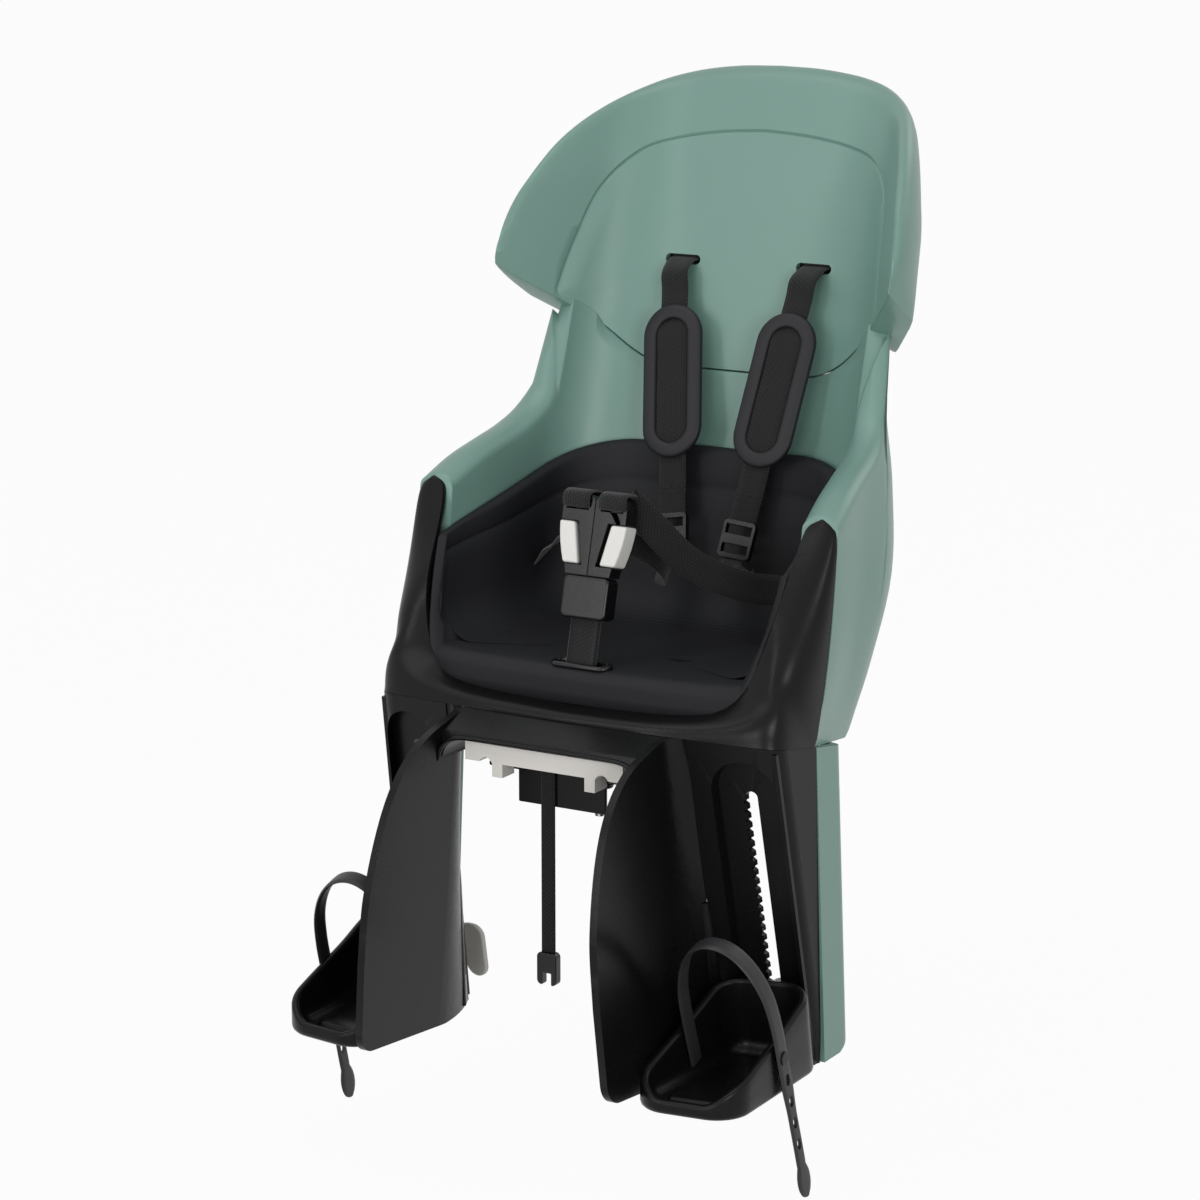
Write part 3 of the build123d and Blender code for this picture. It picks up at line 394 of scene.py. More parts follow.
def through(points: Sequence[Sequence[float]], count: int) -> list[Vector]:
    """Smooth line through points.

    Args:
        points: the points, of any dimension.
        count: samples on each run between two points.

    Returns:
        The samples, with both end points.
    """
    fixed = [Vector(p) for p in points]
    fixed = [2 * fixed[0] - fixed[1], *fixed, 2 * fixed[-1] - fixed[-2]]
    line = []
    for a, b, c, d in zip(fixed, fixed[1:], fixed[2:], fixed[3:]):
        for step in range(count):
            t = step / count
            line.append(0.5 * (2 * b + (c - a) * t + (2 * a - 5 * b + 4 * c - d) * t * t
                               + (3 * b - a - 3 * c + d) * t ** 3))
    return [*line, fixed[-2]]


def root(function: Callable[[float], float], low: float, high: float) -> float:
    """Place where a function changes its sign.

    Args:
        function: the function.
        low: lower end of the search.
        high: upper end of the search.

    Returns:
        The place.
    """
    positive = function(low) > 0
    for _ in range(40):
        middle = (low + high) / 2
        if (function(middle) > 0) == positive:
            low = middle
        else:
            high = middle
    return (low + high) / 2


def place_piece(name: str, mesh: bpy.types.Mesh | bpy.types.Curve) -> bpy.types.Object:
    """Puts a mesh or curve into the scene.

    Args:
        name: the object's name.
        mesh: its data.

    Returns:
        The object, at the origin.
    """
    piece = bpy.data.objects.new(name, mesh)
    bpy.context.scene.collection.objects.link(piece)
    return piece


def from_rings(name: str, rings: Sequence[Sequence[Vector]], caps: bool = True, wrap: bool = False,
               angle: float = CUT_ANGLE, weave: Sequence[Sequence[Pair]] | None = None) -> bpy.types.Object:
    """Skins rings of points with four sided faces.

    Args:
        name: the piece's name.
        rings: loops of equally many points, in millimetres.
        caps: whether the first and last ring are closed by a face.
        wrap: whether the last ring joins the first.
        angle: angle in degrees under which faces are shaded as one.
        weave: place of each point on the woven map, in metres.

    Returns:
        The piece.
    """
    work = bmesh.new()
    loops = [[work.verts.new(point * MM) for point in ring] for ring in rings]
    pairs = list(zip(loops, loops[1:])) + ([(loops[-1], loops[0])] if wrap else [])
    for one, other in pairs:
        for i in range(len(one)):
            k = (i + 1) % len(one)
            work.faces.new((one[i], one[k], other[k], other[i]))
    if caps:
        work.faces.new(list(reversed(loops[0])))
        work.faces.new(loops[-1])
    if weave:
        layer = work.loops.layers.uv.new("weave")
        spots = {vert: spot for ring, row in zip(loops, weave) for vert, spot in zip(ring, row)}
        for face in work.faces:
            for corner in face.loops:
                corner[layer].uv = spots[corner.vert]
    else:
        bmesh.ops.remove_doubles(work, verts=work.verts, dist=MERGE)
        bmesh.ops.dissolve_degenerate(work, edges=work.edges, dist=MERGE)
    bmesh.ops.recalc_face_normals(work, faces=work.faces)
    if work.calc_volume(signed=True) < 0:
        bmesh.ops.reverse_faces(work, faces=work.faces)
    mesh = bpy.data.meshes.new(name)
    work.to_mesh(mesh)
    work.free()
    piece = place_piece(name, mesh)
    shade(piece, angle)
    return piece


def ribbon(name: str, line: Sequence[Vector], width: float | Sequence[float], thick: float
           ) -> bpy.types.Object:
    """Flat strap along a line.

    Args:
        name: the piece's name.
        line: six numbers for each place: the point and the direction across the strap.
        width: the strap's width, or one width for each place.
        thick: its thickness.

    Returns:
        The strap, with its woven map.
    """
    rings, marks, run, last = [], [], 0.0, len(line) - 1
    for i, place in enumerate(line):
        point, side = Vector(place[:3]), Vector(place[3:])
        ahead = Vector(line[min(i + 1, last)][:3]) - Vector(line[max(i - 1, 0)][:3])
        up = side.cross(ahead).normalized()
        flat = ahead.cross(up).normalized()
        half = (width if isinstance(width, (int, float)) else width[i]) / 2
        edge = min(thick / 2, half)
        under = [(-half + edge, -1), (-half / 2, -CROWN), (0, -CROWN), (half / 2, -CROWN), (half - edge, -1)]
        section = [*under, (half, 0), *[(x, -y) for x, y in reversed(under)], (-half, 0)]
        if i:
            run += (point - Vector(line[i - 1][:3])).length
        rings.append([point + flat * x + up * y * thick / 2 for x, y in section])
        marks.append([(x * MM, run * MM) for x, _ in section])
    return from_rings(name, rings, angle=STRAP_ANGLE, weave=marks)


def mirrored(points: Iterable[Vector]) -> list[Vector]:
    """Points on the other side of the plane of symmetry, in reverse order."""
    return [Vector((-p.x, p.y, p.z)) for p in reversed(list(points))]


def circle(count: int, shift: float = 0.0) -> list[float]:
    """Angles of equal steps round a full turn, which start at a share of a step."""
    return [2 * math.pi * (i + shift) / count for i in range(count)]


def out_of(loop: Sequence[Vector], index: int, middle: Vector) -> Vector:
    """Direction square to a closed plan and away from its middle.

    Args:
        loop: the plan's points.
        index: which of them.
        middle: a point inside the plan.

    Returns:
        The direction, of length 1.
    """
    run = (loop[(index + 1) % len(loop)] - loop[index - 1]).normalized()
    normal = Vector((run.y, -run.x))
    return normal if normal.dot(loop[index] - middle) >= 0 else -normal


def evaluated_mesh(source: bpy.types.Object) -> bpy.types.Mesh:
    """Mesh that an object shows after its modifiers.

    Args:
        source: a mesh or curve object.

    Returns:
        A new mesh.
    """
    graph = bpy.context.evaluated_depsgraph_get()
    graph.update()
    return bpy.data.meshes.new_from_object(source.evaluated_get(graph))


def settle(piece: bpy.types.Object) -> None:
    """Turns a piece's modifiers into its own mesh.

    Args:
        piece: the object.
    """
    mesh = evaluated_mesh(piece)
    piece.modifiers.clear()
    piece.data = mesh
    mesh.name = piece.name


def shade(piece: bpy.types.Object, angle: float) -> None:
    """Shades faces that meet at less than an angle, in degrees, as one surface."""
    piece.data.shade_smooth()
    piece.data.set_sharp_from_angle(angle=math.radians(angle))


def round_edges(piece: bpy.types.Object, width: float, segments: int = 2, angle: float = EDGE_ANGLE) -> None:
    """Rounds a piece's sharp edges and keeps its flat faces flat in the shading.

    Args:
        piece: the object.
        width: width of the rounding in millimetres.
        segments: faces across the rounding.
        angle: angle in degrees from which an edge is sharp.
    """
    bevel = piece.modifiers.new("rounded_edges", "BEVEL")
    bevel.width = width * MM
    bevel.segments = segments
    bevel.limit_method = "ANGLE"
    bevel.angle_limit = math.radians(angle)
    bevel.use_clamp_overlap = True
    settle(piece)
    shade(piece, STRAP_ANGLE)
    piece.modifiers.new("even_shading", "WEIGHTED_NORMAL").keep_sharp = True
    settle(piece)


def cut(piece: bpy.types.Object, *tools: bpy.types.Object) -> None:
    """Cuts pieces out of a piece and removes them.

    Args:
        piece: the object that stays.
        tools: the objects that are cut out.
    """
    for tool in tools:
        step = piece.modifiers.new("cut", "BOOLEAN")
        step.operation = "DIFFERENCE"
        step.solver = "EXACT"
        step.use_self = True
        step.object = tool
    settle(piece)
    for tool in tools:
        bpy.data.objects.remove(tool)
    shade(piece, CUT_ANGLE)


class Workshop:
    """Makes finished pieces and keeps one material for each slot."""

    def __init__(self, frame: dict) -> None:
        """Makes the materials.
        """
        self.frame = frame
        self.materials = {slot: finish.material() for slot, finish in FINISHES.items()}
        self.slot_of = {part["node"]: Slot(part["material_slot"]) for part in frame["record"]["subparts"]}
        self.body_of = {node: body for body, nodes in frame["record"]["behaviour"]["bodies"].items() for node in nodes}

    def finish(self, piece: bpy.types.Object, slot: Slot, body: str, *nodes: str) -> bpy.types.Object:
        """Gives a piece its material, its body and the nodes that it stands for.

        Args:
            piece: the object, in place.
            slot: its finish.
            body: the body that it rides on.
            nodes: the nodes that it replaces.

        Returns:
            The same object.
        """
        piece.data.materials.clear()
        piece.data.materials.append(self.materials[slot])
        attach(piece, body)
        if nodes:
            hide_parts(*nodes)
        LOG.info("%s: %d faces, on %s", piece.name, len(piece.data.polygons), body)
        return piece

    def dress(self, piece: bpy.types.Object, node: str) -> bpy.types.Object:
        """Finishes a piece as the stand-in of a node, with that node's slot and body."""
        return self.finish(piece, self.slot_of[node], self.body_of[node], node)

    def copy_node(self, node: str, width: float = 0.8, segments: int = 2, tools: Sequence[bpy.types.Object] = ()
                  ) -> bpy.types.Object:
        """Makes a merged copy of a node with rounded edges.

        Args:
            node: the node's name.
            width: width of the rounding in millimetres.
            segments: faces across the rounding.
            tools: pieces that are cut out of the copy first.

        Returns:
            The finished piece, which replaces the node.
        """
        mesh = self.frame["nodes"][node].data.copy()
        mesh.name = node + "_piece"
        work = bmesh.new()
        work.from_mesh(mesh)
        bmesh.ops.remove_doubles(work, verts=work.verts, dist=COPY_MERGE)
        bmesh.ops.dissolve_limit(work, angle_limit=math.radians(0.5), verts=work.verts, edges=work.edges)
        work.to_mesh(mesh)
        work.free()
        piece = place_piece(node + "_piece", mesh)
        shade(piece, EDGE_ANGLE)
        if tools:
            cut(piece, *tools)
        round_edges(piece, width, segments)
        return self.dress(piece, node)


@dataclass(frozen=True)
class SeatForm:
    """Lines that the shell, the front and the pad share, in millimetres."""

    recline: float = 0.26
    back_y: float = 205.0
    back_z: float = 211.0
    flat: float = 72.0
    corner: float = 72.0
    flare: float = 10.0
    walls: tuple[Pair, ...] = ((-60, 24), (0, 26), (60, 37), (131, 45), (203.5, 36), (276, 21.5),
                               (420, 21.5))
    rim: tuple[Pair, ...] = ((36.7, 198.5), (68, 212), (100, 222), (131, 231.5), (155, 244), (172, 263),
                             (182, 285), (188, 310), (191, 336), (194, 390))
    seam_flat: float = 86.0
    seam_round: float = 24.0
    seam_z: float = 272.7
    seam_rise: float = 0.89
    under_fall: float = 0.53
    front_spread: float = 4.5
    head_corner: float = 75.0
    head_flare: float = 33.0
    head_lean: float = 0.13
    lean_from: float = 469.0
    lean_bow: float = 0.0016
    drop_reach: Pair = (122.0, 144.0)
    edge_at: Pair = (13.0, 19.0)
    edge_slope: float = 24.0 / 181.0
    parting_at: Pair = (-60.5, 34.0)
    parting_fall: float = 0.17
    bend: Pair = (0.2, 0.6)
    hip_wall: float = 45.0
    hip_swell: float = 19.0
    spread_u: Pair = (0.7, 1.0)
    spread_z: Pair = (20.0, 70.0)

    def inner_back(self, z: float) -> float:
        """Y of the backrest's face at a height."""
        return self.back_y + self.recline * (z - self.back_z)

    def edge_y(self, z: float) -> float:
        """Y of the line where the green shell meets the black front."""
        return self.edge_at[0] + (z - self.edge_at[1]) * self.edge_slope

    def parting_z(self, y: float) -> float:
        """Height of the parting plane between the seat body and the legs."""
        return self.parting_at[1] - self.parting_fall * (y - self.parting_at[0])

    def head_seam(self, x: float) -> float:
        """Height of the headrest's lower edge, which turns up towards the wings in a round bend.

        Args:
            x: distance from the plane of symmetry.

        Returns:
            The height.
        """
        start, reach = self.seam_flat - self.seam_round, 2 * self.seam_round
        past = max(0.0, abs(x) - start)
        rise = past * past / (2 * reach) if past < reach else past - reach / 2
        return self.seam_z + self.seam_rise * rise

    def head_y(self, x: float, z: float, grow: float = 0.0) -> float:
        """Y of the headrest's front face, or of a face behind it.

        Args:
            x: distance from the plane of symmetry.
            z: the height.
            grow: how far behind the front face.

        Returns:
            The y.
        """
        side, angle = abs(x) - self.flat, math.radians(self.head_flare)
        radius = self.head_corner + grow
        y = self.inner_back(z) + grow
        if side > 0:
            reach = radius * math.cos(angle)
            inner = min(side, reach)
            y += math.sqrt(radius ** 2 - inner ** 2) - radius
            y -= max(0.0, side - reach) / math.tan(angle)
        return y + self.head_lean * max(0.0, z - self.lean_from + self.lean_bow * x * x)

    def head_drop(self, x: float, depth: float) -> float:
        """How far the headrest's underside falls at a depth behind its front edge, beside the wings."""
        return self.under_fall * soft_step(abs(x), *self.drop_reach) * max(0.0, depth)

    def under_head(self, x: float, y: float) -> float:
        """Height of the headrest's underside over a point."""
        edge = self.head_seam(x)
        return edge - self.head_drop(x, y - self.head_y(x, edge))

    def plan(self, u: float, z: float, grow: float, flare: float) -> Vector:
        """Point of the bucket's plan.

        Args:
            u: 0 at the middle of the back, 1 at the front edge.
            z: the height.
            grow: distance outside the bucket's inner face.
            flare: angle of the side in degrees.

        Returns:
            The point.
        """
        back, radius, angle = self.inner_back(z), self.corner + grow, math.radians(flare)
        first, last = self.bend
        if u < first:
            return Vector((self.flat * u / first, back + grow, z))
        turn = blend(math.pi / 2, angle, min(1.0, (u - first) / (last - first)))
        x, y = self.flat + radius * math.cos(turn), back - self.corner + radius * math.sin(turn)
        run = max(0.0, (y - self.edge_y(z)) * (u - last) / (1 - last))
        return Vector((x + run * math.tan(angle), y - run, z))

    def inside(self, u: float, z: float) -> Vector:
        """Point of the bucket's inner face."""
        return self.plan(u, z, 0.0, self.flare)

    def outside(self, u: float, z: float) -> Vector:
        """Point of the shell's outer face, which swells at the hips.

        Args:
            u: 0 at the middle of the back, 1 at the front edge.
            z: the height.

        Returns:
            The point.
        """
        wall = along_table(self.walls, z)
        point = self.plan(u, z, wall, self.flare * (self.hip_wall - wall) / self.hip_swell)
        point.x += self.front_spread * soft_step(u, *self.spread_u) * soft_step(z, *self.spread_z)
        return point


@dataclass
class BackShell:
    """The green bucket with its rounded arm rims."""

    form: SeatForm
    rim_height: float = 10.0
    seam_gap: float = 0.35
    tuck: float = 8.0
    tuck_x: Pair = (116.0, 128.0)
    bowl_y: float = 80.0
    inner_bowl: tuple[float, ...] = (146.6, 47.2, 186.9, 44.0)
    outer_bowl: tuple[float, ...] = (208.0, 31.7, 202.3, -90.0)
    free_room: Pair = (4.0, 34.0)
    lift_range: Pair = (0.5, 38.0)
    high_search: Pair = (100.0, 390.0)
    inner_search: Pair = (20.0, 190.0)
    outer_search: Pair = (-40.0, 190.0)

    def top(self, point: Vector) -> float:
        """Height at which the shell ends over a point: at its rim, or tucked under the headrest.

        Args:
            point: a point of the shell.

        Returns:
            The height.
        """
        tuck = self.tuck * soft_step(abs(point.x), *self.tuck_x)
        under = self.form.under_head(point.x, point.y) - self.seam_gap + tuck
        return min(under, along_table(self.form.rim, point.y))

    def bowl(self, y: float, radius: float, middle_y: float, middle_z: float, floor: float) -> float:
        """Height of a bowl's round bottom.

        Args:
            y: the place.
            radius: the bowl's radius.
            middle_y: y of its middle.
            middle_z: height of its middle.
            floor: height of the level floor in front of the bowl.

        Returns:
            The height.
        """
        if y < self.bowl_y:
            return floor
        return middle_z - math.sqrt(max(0.0, radius ** 2 - (y - middle_y) ** 2))

    def section(self, u: float) -> list[Vector]:
        """Right half of one closed section.

        Args:
            u: 0 at the middle of the back, 1 at the front edge.

        Returns:
            The points from the inner floor over the rim to the underside.
        """
        form = self.form
        high_in = root(lambda z: self.top(form.inside(u, z)) - z, *self.high_search)
        high_out = root(lambda z: self.top(form.outside(u, z)) - z, *self.high_search)
        low_in = root(lambda z: z - self.bowl(form.inside(u, z).y, *self.inner_bowl), *self.inner_search)
        low_out = root(lambda z: z - max(form.parting_z(form.outside(u, z).y),
                                         self.bowl(form.outside(u, z).y, *self.outer_bowl)), *self.outer_search)
        over = form.inside(u, high_in)
        room = form.under_head(over.x, over.y) - along_table(form.rim, over.y)
        slope = (along_table(form.rim, over.y + 1) - along_table(form.rim, over.y - 1)) / 2
        least, most = self.lift_range
        round_lift = min(most, self.rim_height * math.hypot(1.0, slope))
        lift = blend(least, round_lift, soft_step(room, *self.free_room))
        points = [form.inside(u, blend(low_in, high_in - lift, i / 16)) for i in range(17)]
        first, last = form.inside(u, high_in - lift), form.outside(u, high_out - lift)
        for i in range(1, 12):
            turn = math.pi * i / 12
            points.append(first.lerp(last, (1 - math.cos(turn)) / 2) + Vector((0, 0, lift * math.sin(turn))))
        points += [form.outside(u, blend(high_out - lift, low_out, i / 24)) for i in range(25)]
        return points

    def build(self, shop: Workshop) -> None:
        """Builds the shell from sections that run from the front edge to the middle of the back.

        Args:
            shop: where the pieces are finished.
        """
        stations = [1 - 0.4 * i / 26 for i in range(26)] + [0.6 - 0.4 * i / 36 for i in range(36)]
        stations += [0.2 - 0.2 * i / 8 for i in range(9)]
        rings = []
        for u in stations:
            half = self.section(u)
            rings.append(half + mirrored(half))
        shell = from_rings("back_shell_piece", rings, angle=62.0)
        shop.dress(shell, "back_shell")


@dataclass
class Headrest:
    """The winged headrest: a panel, a flange beyond the arched seam, a round rim and a slanting underside."""

    form: SeatForm
    wall: float = 18.0
    wing_wall: float = 20.0
    rim: float = 10.0
    middle: Pair = (0.0, 350.0)
    tip_x: float = 183.5
    arch: tuple[Pair, ...] = ((183.5, 361), (186.3, 378), (185.3, 397), (178, 424), (162, 461),
                              (140, 487), (112, 504), (79, 514), (40, 519.5), (0, 521))
    seam: tuple[Pair, ...] = ((150, 327), (143.5, 372), (132, 421), (110, 449), (80, 460), (40, 466.5), (0, 469))
    groove: tuple[Pair, ...] = ((-1.4, 0.0), (-0.7, 0.8), (0.0, 1.5), (0.7, 0.8), (1.4, 0.0))
    seam_edge: float = 1.6
    seam_ends_at: float = 0.985
    low_rim: float = 1.0
    tip_rim: float = 1.5
    low_steps: int = 34
    drop_fade: float = 40.0
    wing_x: Pair = (96.0, 150.0)
    wing_z: Pair = (390.0, 500.0)
    panel_steps: tuple[float, ...] = (0.0, 0.2, 0.4, 0.58, 0.74, 0.86, 0.94)
    flange_steps: tuple[float, ...] = (0.1, 0.25, 0.42, 0.6, 0.78, 0.9, 1.0)
    back_steps: tuple[float, ...] = (1.0, 0.95, 0.87, 0.78, 0.65, 0.5, 0.35, 0.18, 0.0)
    slot_x: float = 61.8
    slot_z: float = 360.5
    slot_reach: float = 12.5
    slot_radius: float = 4.0
    slot_cut: Pair = (190.0, 300.0)
    # y span of the black blocks set deep in the strap slots: painted shade inside the slots
    slot_shade_plug: Pair = (251.0, 261.0)

    def back_y(self, x: float, z: float) -> float:
        """Y of the back face, which stands further off behind the wings."""
        wing = soft_step(abs(x), *self.wing_x) * (1 - soft_step(z, *self.wing_z))
        return self.form.head_y(x, z, self.wall) + self.wing_wall * wing

    def outline(self) -> list[tuple[Vector, float]]:
        """Right half of the front outline, from the bottom to the crown.

        Returns:
            Points (x, z) and the rounding of the rim there.
        """
        low = [self.tip_x * i / self.low_steps for i in range(self.low_steps)]
        rows = [(Vector((x, self.form.head_seam(x))), self.low_rim) for x in low]
        arch = enumerate(through(self.arch, 7))
        return rows + [(p, blend(self.tip_rim, self.rim, soft_step(i, 0, 14))) for i, p in arch]

    def seam_share(self, point: Vector) -> float:
        """Share of the way from the middle to a rim point at which the arched seam is crossed.

        Args:
            point: the rim point on the right half.

        Returns:
            The share, which is 1 below the seam's lower end.
        """
        middle = Vector(self.middle)
        angle = math.atan2(point.y - middle.y, point.x)
        polar = [(math.atan2(z - middle.y, x), math.hypot(x, z - middle.y)) for x, z in through(self.seam, 5)]
        if angle < polar[0][0]:
            return 1.0
        return min(1.0, along_table(polar, angle) / (point - middle).length)

    def stations(self) -> list[tuple[Vector, Vector, float, float, float]]:
        """Places round the outline.

        Returns:
            For each place the point that lies inside the rim's rounding, the direction out of the outline, the
            rounding, the share of the way out at which the arched seam lies and the fall of the underside.
        """
        half = self.outline()
        loop = half + [(Vector((-p.x, p.y)), r) for p, r in reversed(half[1:-1])]
        plan = [point for point, _ in loop]
        places = []
        for i, (point, rounding) in enumerate(loop):
            normal = out_of(plan, i, Vector(self.middle))
            inset = point - normal * rounding
            low = 1 - soft_step(point.y - self.form.head_seam(point.x), 0.0, self.drop_fade)
            depth = self.back_y(*inset) - self.form.head_y(*inset)
            drop = low * self.form.head_drop(inset.x, depth)
            share = self.seam_share(Vector((abs(inset.x), inset.y)))
            places.append((inset, normal, rounding, share, drop))
        return places

    def front_row(self, step: float, outer: bool) -> list[Vector]:
        """One ring of the front face.

        Args:
            step: share of the way across the panel or across the flange.
            outer: whether the ring lies on the flange.

        Returns:
            The ring.
        """
        middle, ring = Vector(self.middle), []
        for inset, _, _, share, _ in self.places:
            edge = self.seam_edge / (inset - middle).length
            place = blend(min(1.0, share + edge), 1.0, step) if outer else (share - 2 * edge) * step
            x, z = middle.lerp(inset, place)
            ring.append(Vector((x, self.form.head_y(x, z), z)))
        return ring

    def groove_row(self, off: float, deep: float) -> list[Vector]:
        """One ring of the groove along the arched seam, which is level where there is no seam.

        Args:
            off: distance outside the middle of the groove.
            deep: depth under the face.

        Returns:
            The ring.
        """
        middle, ring, shift = Vector(self.middle), [], self.groove[-1][0] + 0.1
        for inset, _, _, share, _ in self.places:
            open_seam = share < self.seam_ends_at
            place = share + (off if open_seam else off - shift) / (inset - middle).length
            x, z = middle.lerp(inset, place)
            face = Vector((x, self.form.head_y(x, z), z))
            ring.append(face + self.inward(x, z) * deep if open_seam else face)
        return ring

    def inward(self, x: float, z: float) -> Vector:
        """Direction from the front face into the headrest, square to the face.

        Args:
            x: distance from the plane of symmetry.
            z: the height.

        Returns:
            The direction, of length 1.
        """
        across = self.form.head_y(x + 0.5, z) - self.form.head_y(x - 0.5, z)
        up = self.form.head_y(x, z + 0.5) - self.form.head_y(x, z - 0.5)
        return Vector((-across, 1.0, -up)).normalized()

    def build(self, shop: Workshop) -> None:
        """Builds the headrest from rings that grow from the middle of its face and shrink over its back.

        Args:
            shop: where the pieces are finished.
        """
        self.places = self.stations()
        rings = [self.front_row(step, False) for step in self.panel_steps]
        rings += [self.groove_row(off, deep) for off, deep in self.groove]
        rings += [self.front_row(step, True) for step in self.flange_steps]
        rings += [self.rim_row(math.pi * i / 12) for i in range(1, 12)]
        rings += [self.back_row(share) for share in self.back_steps]
        shell = from_rings("headrest_piece", rings, caps=False)
        cut(shell, *[self.slot_block("slot_cutter", side, self.slot_cut) for side in SIDES.values()])
        shop.dress(shell, "headrest_shell")
        # Frame-black blocks deep in the strap slots are painted shade, standing in for the shadow inside the slots
        for word, side in SIDES.items():
            shop.finish(self.slot_block(f"slot_shade_plug_{word}", side, self.slot_shade_plug), Slot.FRAME, "seat")

    def rim_row(self, turn: float) -> list[Vector]:
        """One ring of the rim.

        Args:
            turn: angle round the rim, from 0 at the front to pi at the back.

        Returns:
            The ring.
        """
        ring, behind = [], (1 - math.cos(turn)) / 2
        for inset, normal, rounding, _, drop in self.places:
            x, z = inset + normal * rounding * math.sin(turn)
            z -= drop * behind
            ring.append(Vector((x, blend(self.form.head_y(x, z), self.back_y(x, z), behind), z)))
        return ring

    def back_row(self, share: float) -> list[Vector]:
        """One ring of the back face.

        Args:
            share: share of the way from the middle to the rim.

        Returns:
            The ring.
        """
        ring = []
        for inset, _, _, _, drop in self.places:
            x, z = Vector(self.middle).lerp(inset, share)
            z -= drop * share ** 5
            ring.append(Vector((x, self.back_y(x, z), z)))
        return ring

    def slot_block(self, name: str, side: int, depths: Pair) -> bpy.types.Object:
        """Block with the outline of a strap slot, which has round ends.

        Args:
            name: the block's name.
            side: -1 or 1.
            depths: y of its two ends.

        Returns:
            The block.
        """
        rings = []
        for y in depths:
            ring = []
            for turn in circle(24, 0.5):
                x = math.copysign(self.slot_reach, math.cos(turn)) + self.slot_radius * math.cos(turn)
                ring.append(Vector((side * self.slot_x + x, y, self.slot_z + self.slot_radius * math.sin(turn))))
            rings.append(ring)
        return from_rings(name, rings)


@dataclass
class FrontBezel:
    """The black front: an apron under the pad that turns up into the two arm panels."""

    form: SeatForm
    outer: tuple[Triple, ...] = (
        (0, -62, 0), (50, -61.2, 0), (89, -60.5, 0), (130, -54.6, 0), (158, -50.2, 0), (175, -45, 0), (183, -35, 0),
        (185.6, -15, 0), (187.4, 10, 0), (190.5, 0, 60), (192.4, 0, 95), (193, 0, 130), (193.2, 0, 160),
        (192.6, 0, 178), (189.8, 0, 190), (179.4, 0, 197.6))
    mouth: tuple[Triple, ...] = (
        (0, -41, 41.8), (48, -41, 43), (84, -39.5, 44.5), (112, -36, 48), (130, -31, 55), (141, -26.5, 65),
        (148.5, -22, 79), (153, -18, 92), (156.5, -13.5, 106), (159, -7.5, 120), (160.6, 0, 135), (162, 9, 150),
        (163.4, 18, 165), (165, 25.5, 180), (168.6, 31, 191.4), (178.4, 35, 197.6))
    boxy: float = 0.78
    gap: float = 0.6
    smoothing: int = 9
    steps: int = 6
    across: int = 18
    turns_up: Pair = (5.0, 8.0)
    swings_back: Pair = (4.5, 6.0)
    lip: Triple = (0.5, 1.5, 0.9)
    fold: Triple = (3.0, 5.0, 12.0)
    behind: float = 9.0
    corner_height: tuple[Pair, ...] = ((5, 1), (6, 0.8), (7, 0.7), (8, 0.66), (9, 0.5), (10, 0.4), (12, 0.4))
    corner_y: tuple[Pair, ...] = ((50, -46.5), (60, -44), (72, -38), (80, -33), (88, -27), (110, -9), (138, 7),
                                  (160, 17), (180, 26), (196, 33))

    def outer_line(self) -> list[Vector]:
        """Right half of the outer edge: on the parting plane, round the corner and up the shell's edge.

        Returns:
            The points. A z of 0 in the outer list stands for the parting plane.
        """
        line, steps = [], self.steps
        for x, y, z in through(self.outer, steps):
            if z < 12.0:
                z = self.form.parting_z(y) + 0.3
            else:
                y = self.form.edge_y(z) - self.gap
            line.append(Vector((x, y, z)))
        i = max(i for i, spot in enumerate(self.outer) if spot[2] == 0)
        low, (x, _, high) = line[steps * i], self.outer[i + 1]
        for k in range(1, steps):
            z = blend(low.z, high, k / steps)
            line[steps * i + k] = Vector((blend(low.x, x, k / steps), self.form.edge_y(z) - self.gap, z))
        return line

    def station(self, place: float, start: Vector, end: Vector) -> list[Vector]:
        """One closed section from the outer edge over the front face to the mouth and back.

        Args:
            place: how far along the bezel, in points of its outer line.
            start: point on the parting line or on the shell's edge.
            end: point on the mouth's edge.

        Returns:
            The section's points.
        """
        side = soft_step(place, *self.turns_up)
        corner = Vector((start.x, start.y, blend(start.z, end.z, along_table(self.corner_height, place))))
        corner.y = blend(start.y, along_table(self.corner_y, corner.z), soft_step(place, *self.swings_back))
        first, last = start.lerp(corner, self.boxy), end.lerp(corner, self.boxy)
        points = []
        for i in range(self.across + 1):
            t = i / self.across
            points.append(start * (1 - t) ** 3 + first * 3 * t * (1 - t) ** 2 + last * 3 * t * t * (1 - t)
                          + end * t ** 3)
        lip = end + Vector((-self.lip[0] * side, self.lip[1], self.lip[2] * (1 - side)))
        deep = end + Vector((self.fold[0] * side, self.fold[2], 0.0))
        behind = start + Vector((-side, 1 - side, 0.0)) * self.behind + Vector((0, 0, 0.2))
        return points + [lip, end + Vector((0, self.fold[1], 0)), deep, deep.lerp(behind, 0.5), behind]

    def build(self, shop: Workshop) -> None:
        """Builds the bezel from the left arm's tip, across the apron, to the right arm's tip.

        Args:
            shop: where the piece is finished.
        """
        pairs = zip(self.outer_line(), through(self.mouth, self.steps))
        half = [self.station(i / self.steps, a, b) for i, (a, b) in enumerate(pairs)]
        for _ in range(self.smoothing):
            before = [list(ring) for ring in half]
            for i in range(1, len(half) - 1):
                for k in range(1, self.across):
                    half[i][k] = (before[i - 1][k] + 2 * before[i][k] + before[i + 1][k]) / 4
        left = [[Vector((-p.x, p.y, p.z)) for p in ring] for ring in reversed(half[1:])]
        piece = from_rings("front_bezel_piece", left + half, angle=38.0)
        shop.dress(piece, "front_bezel")


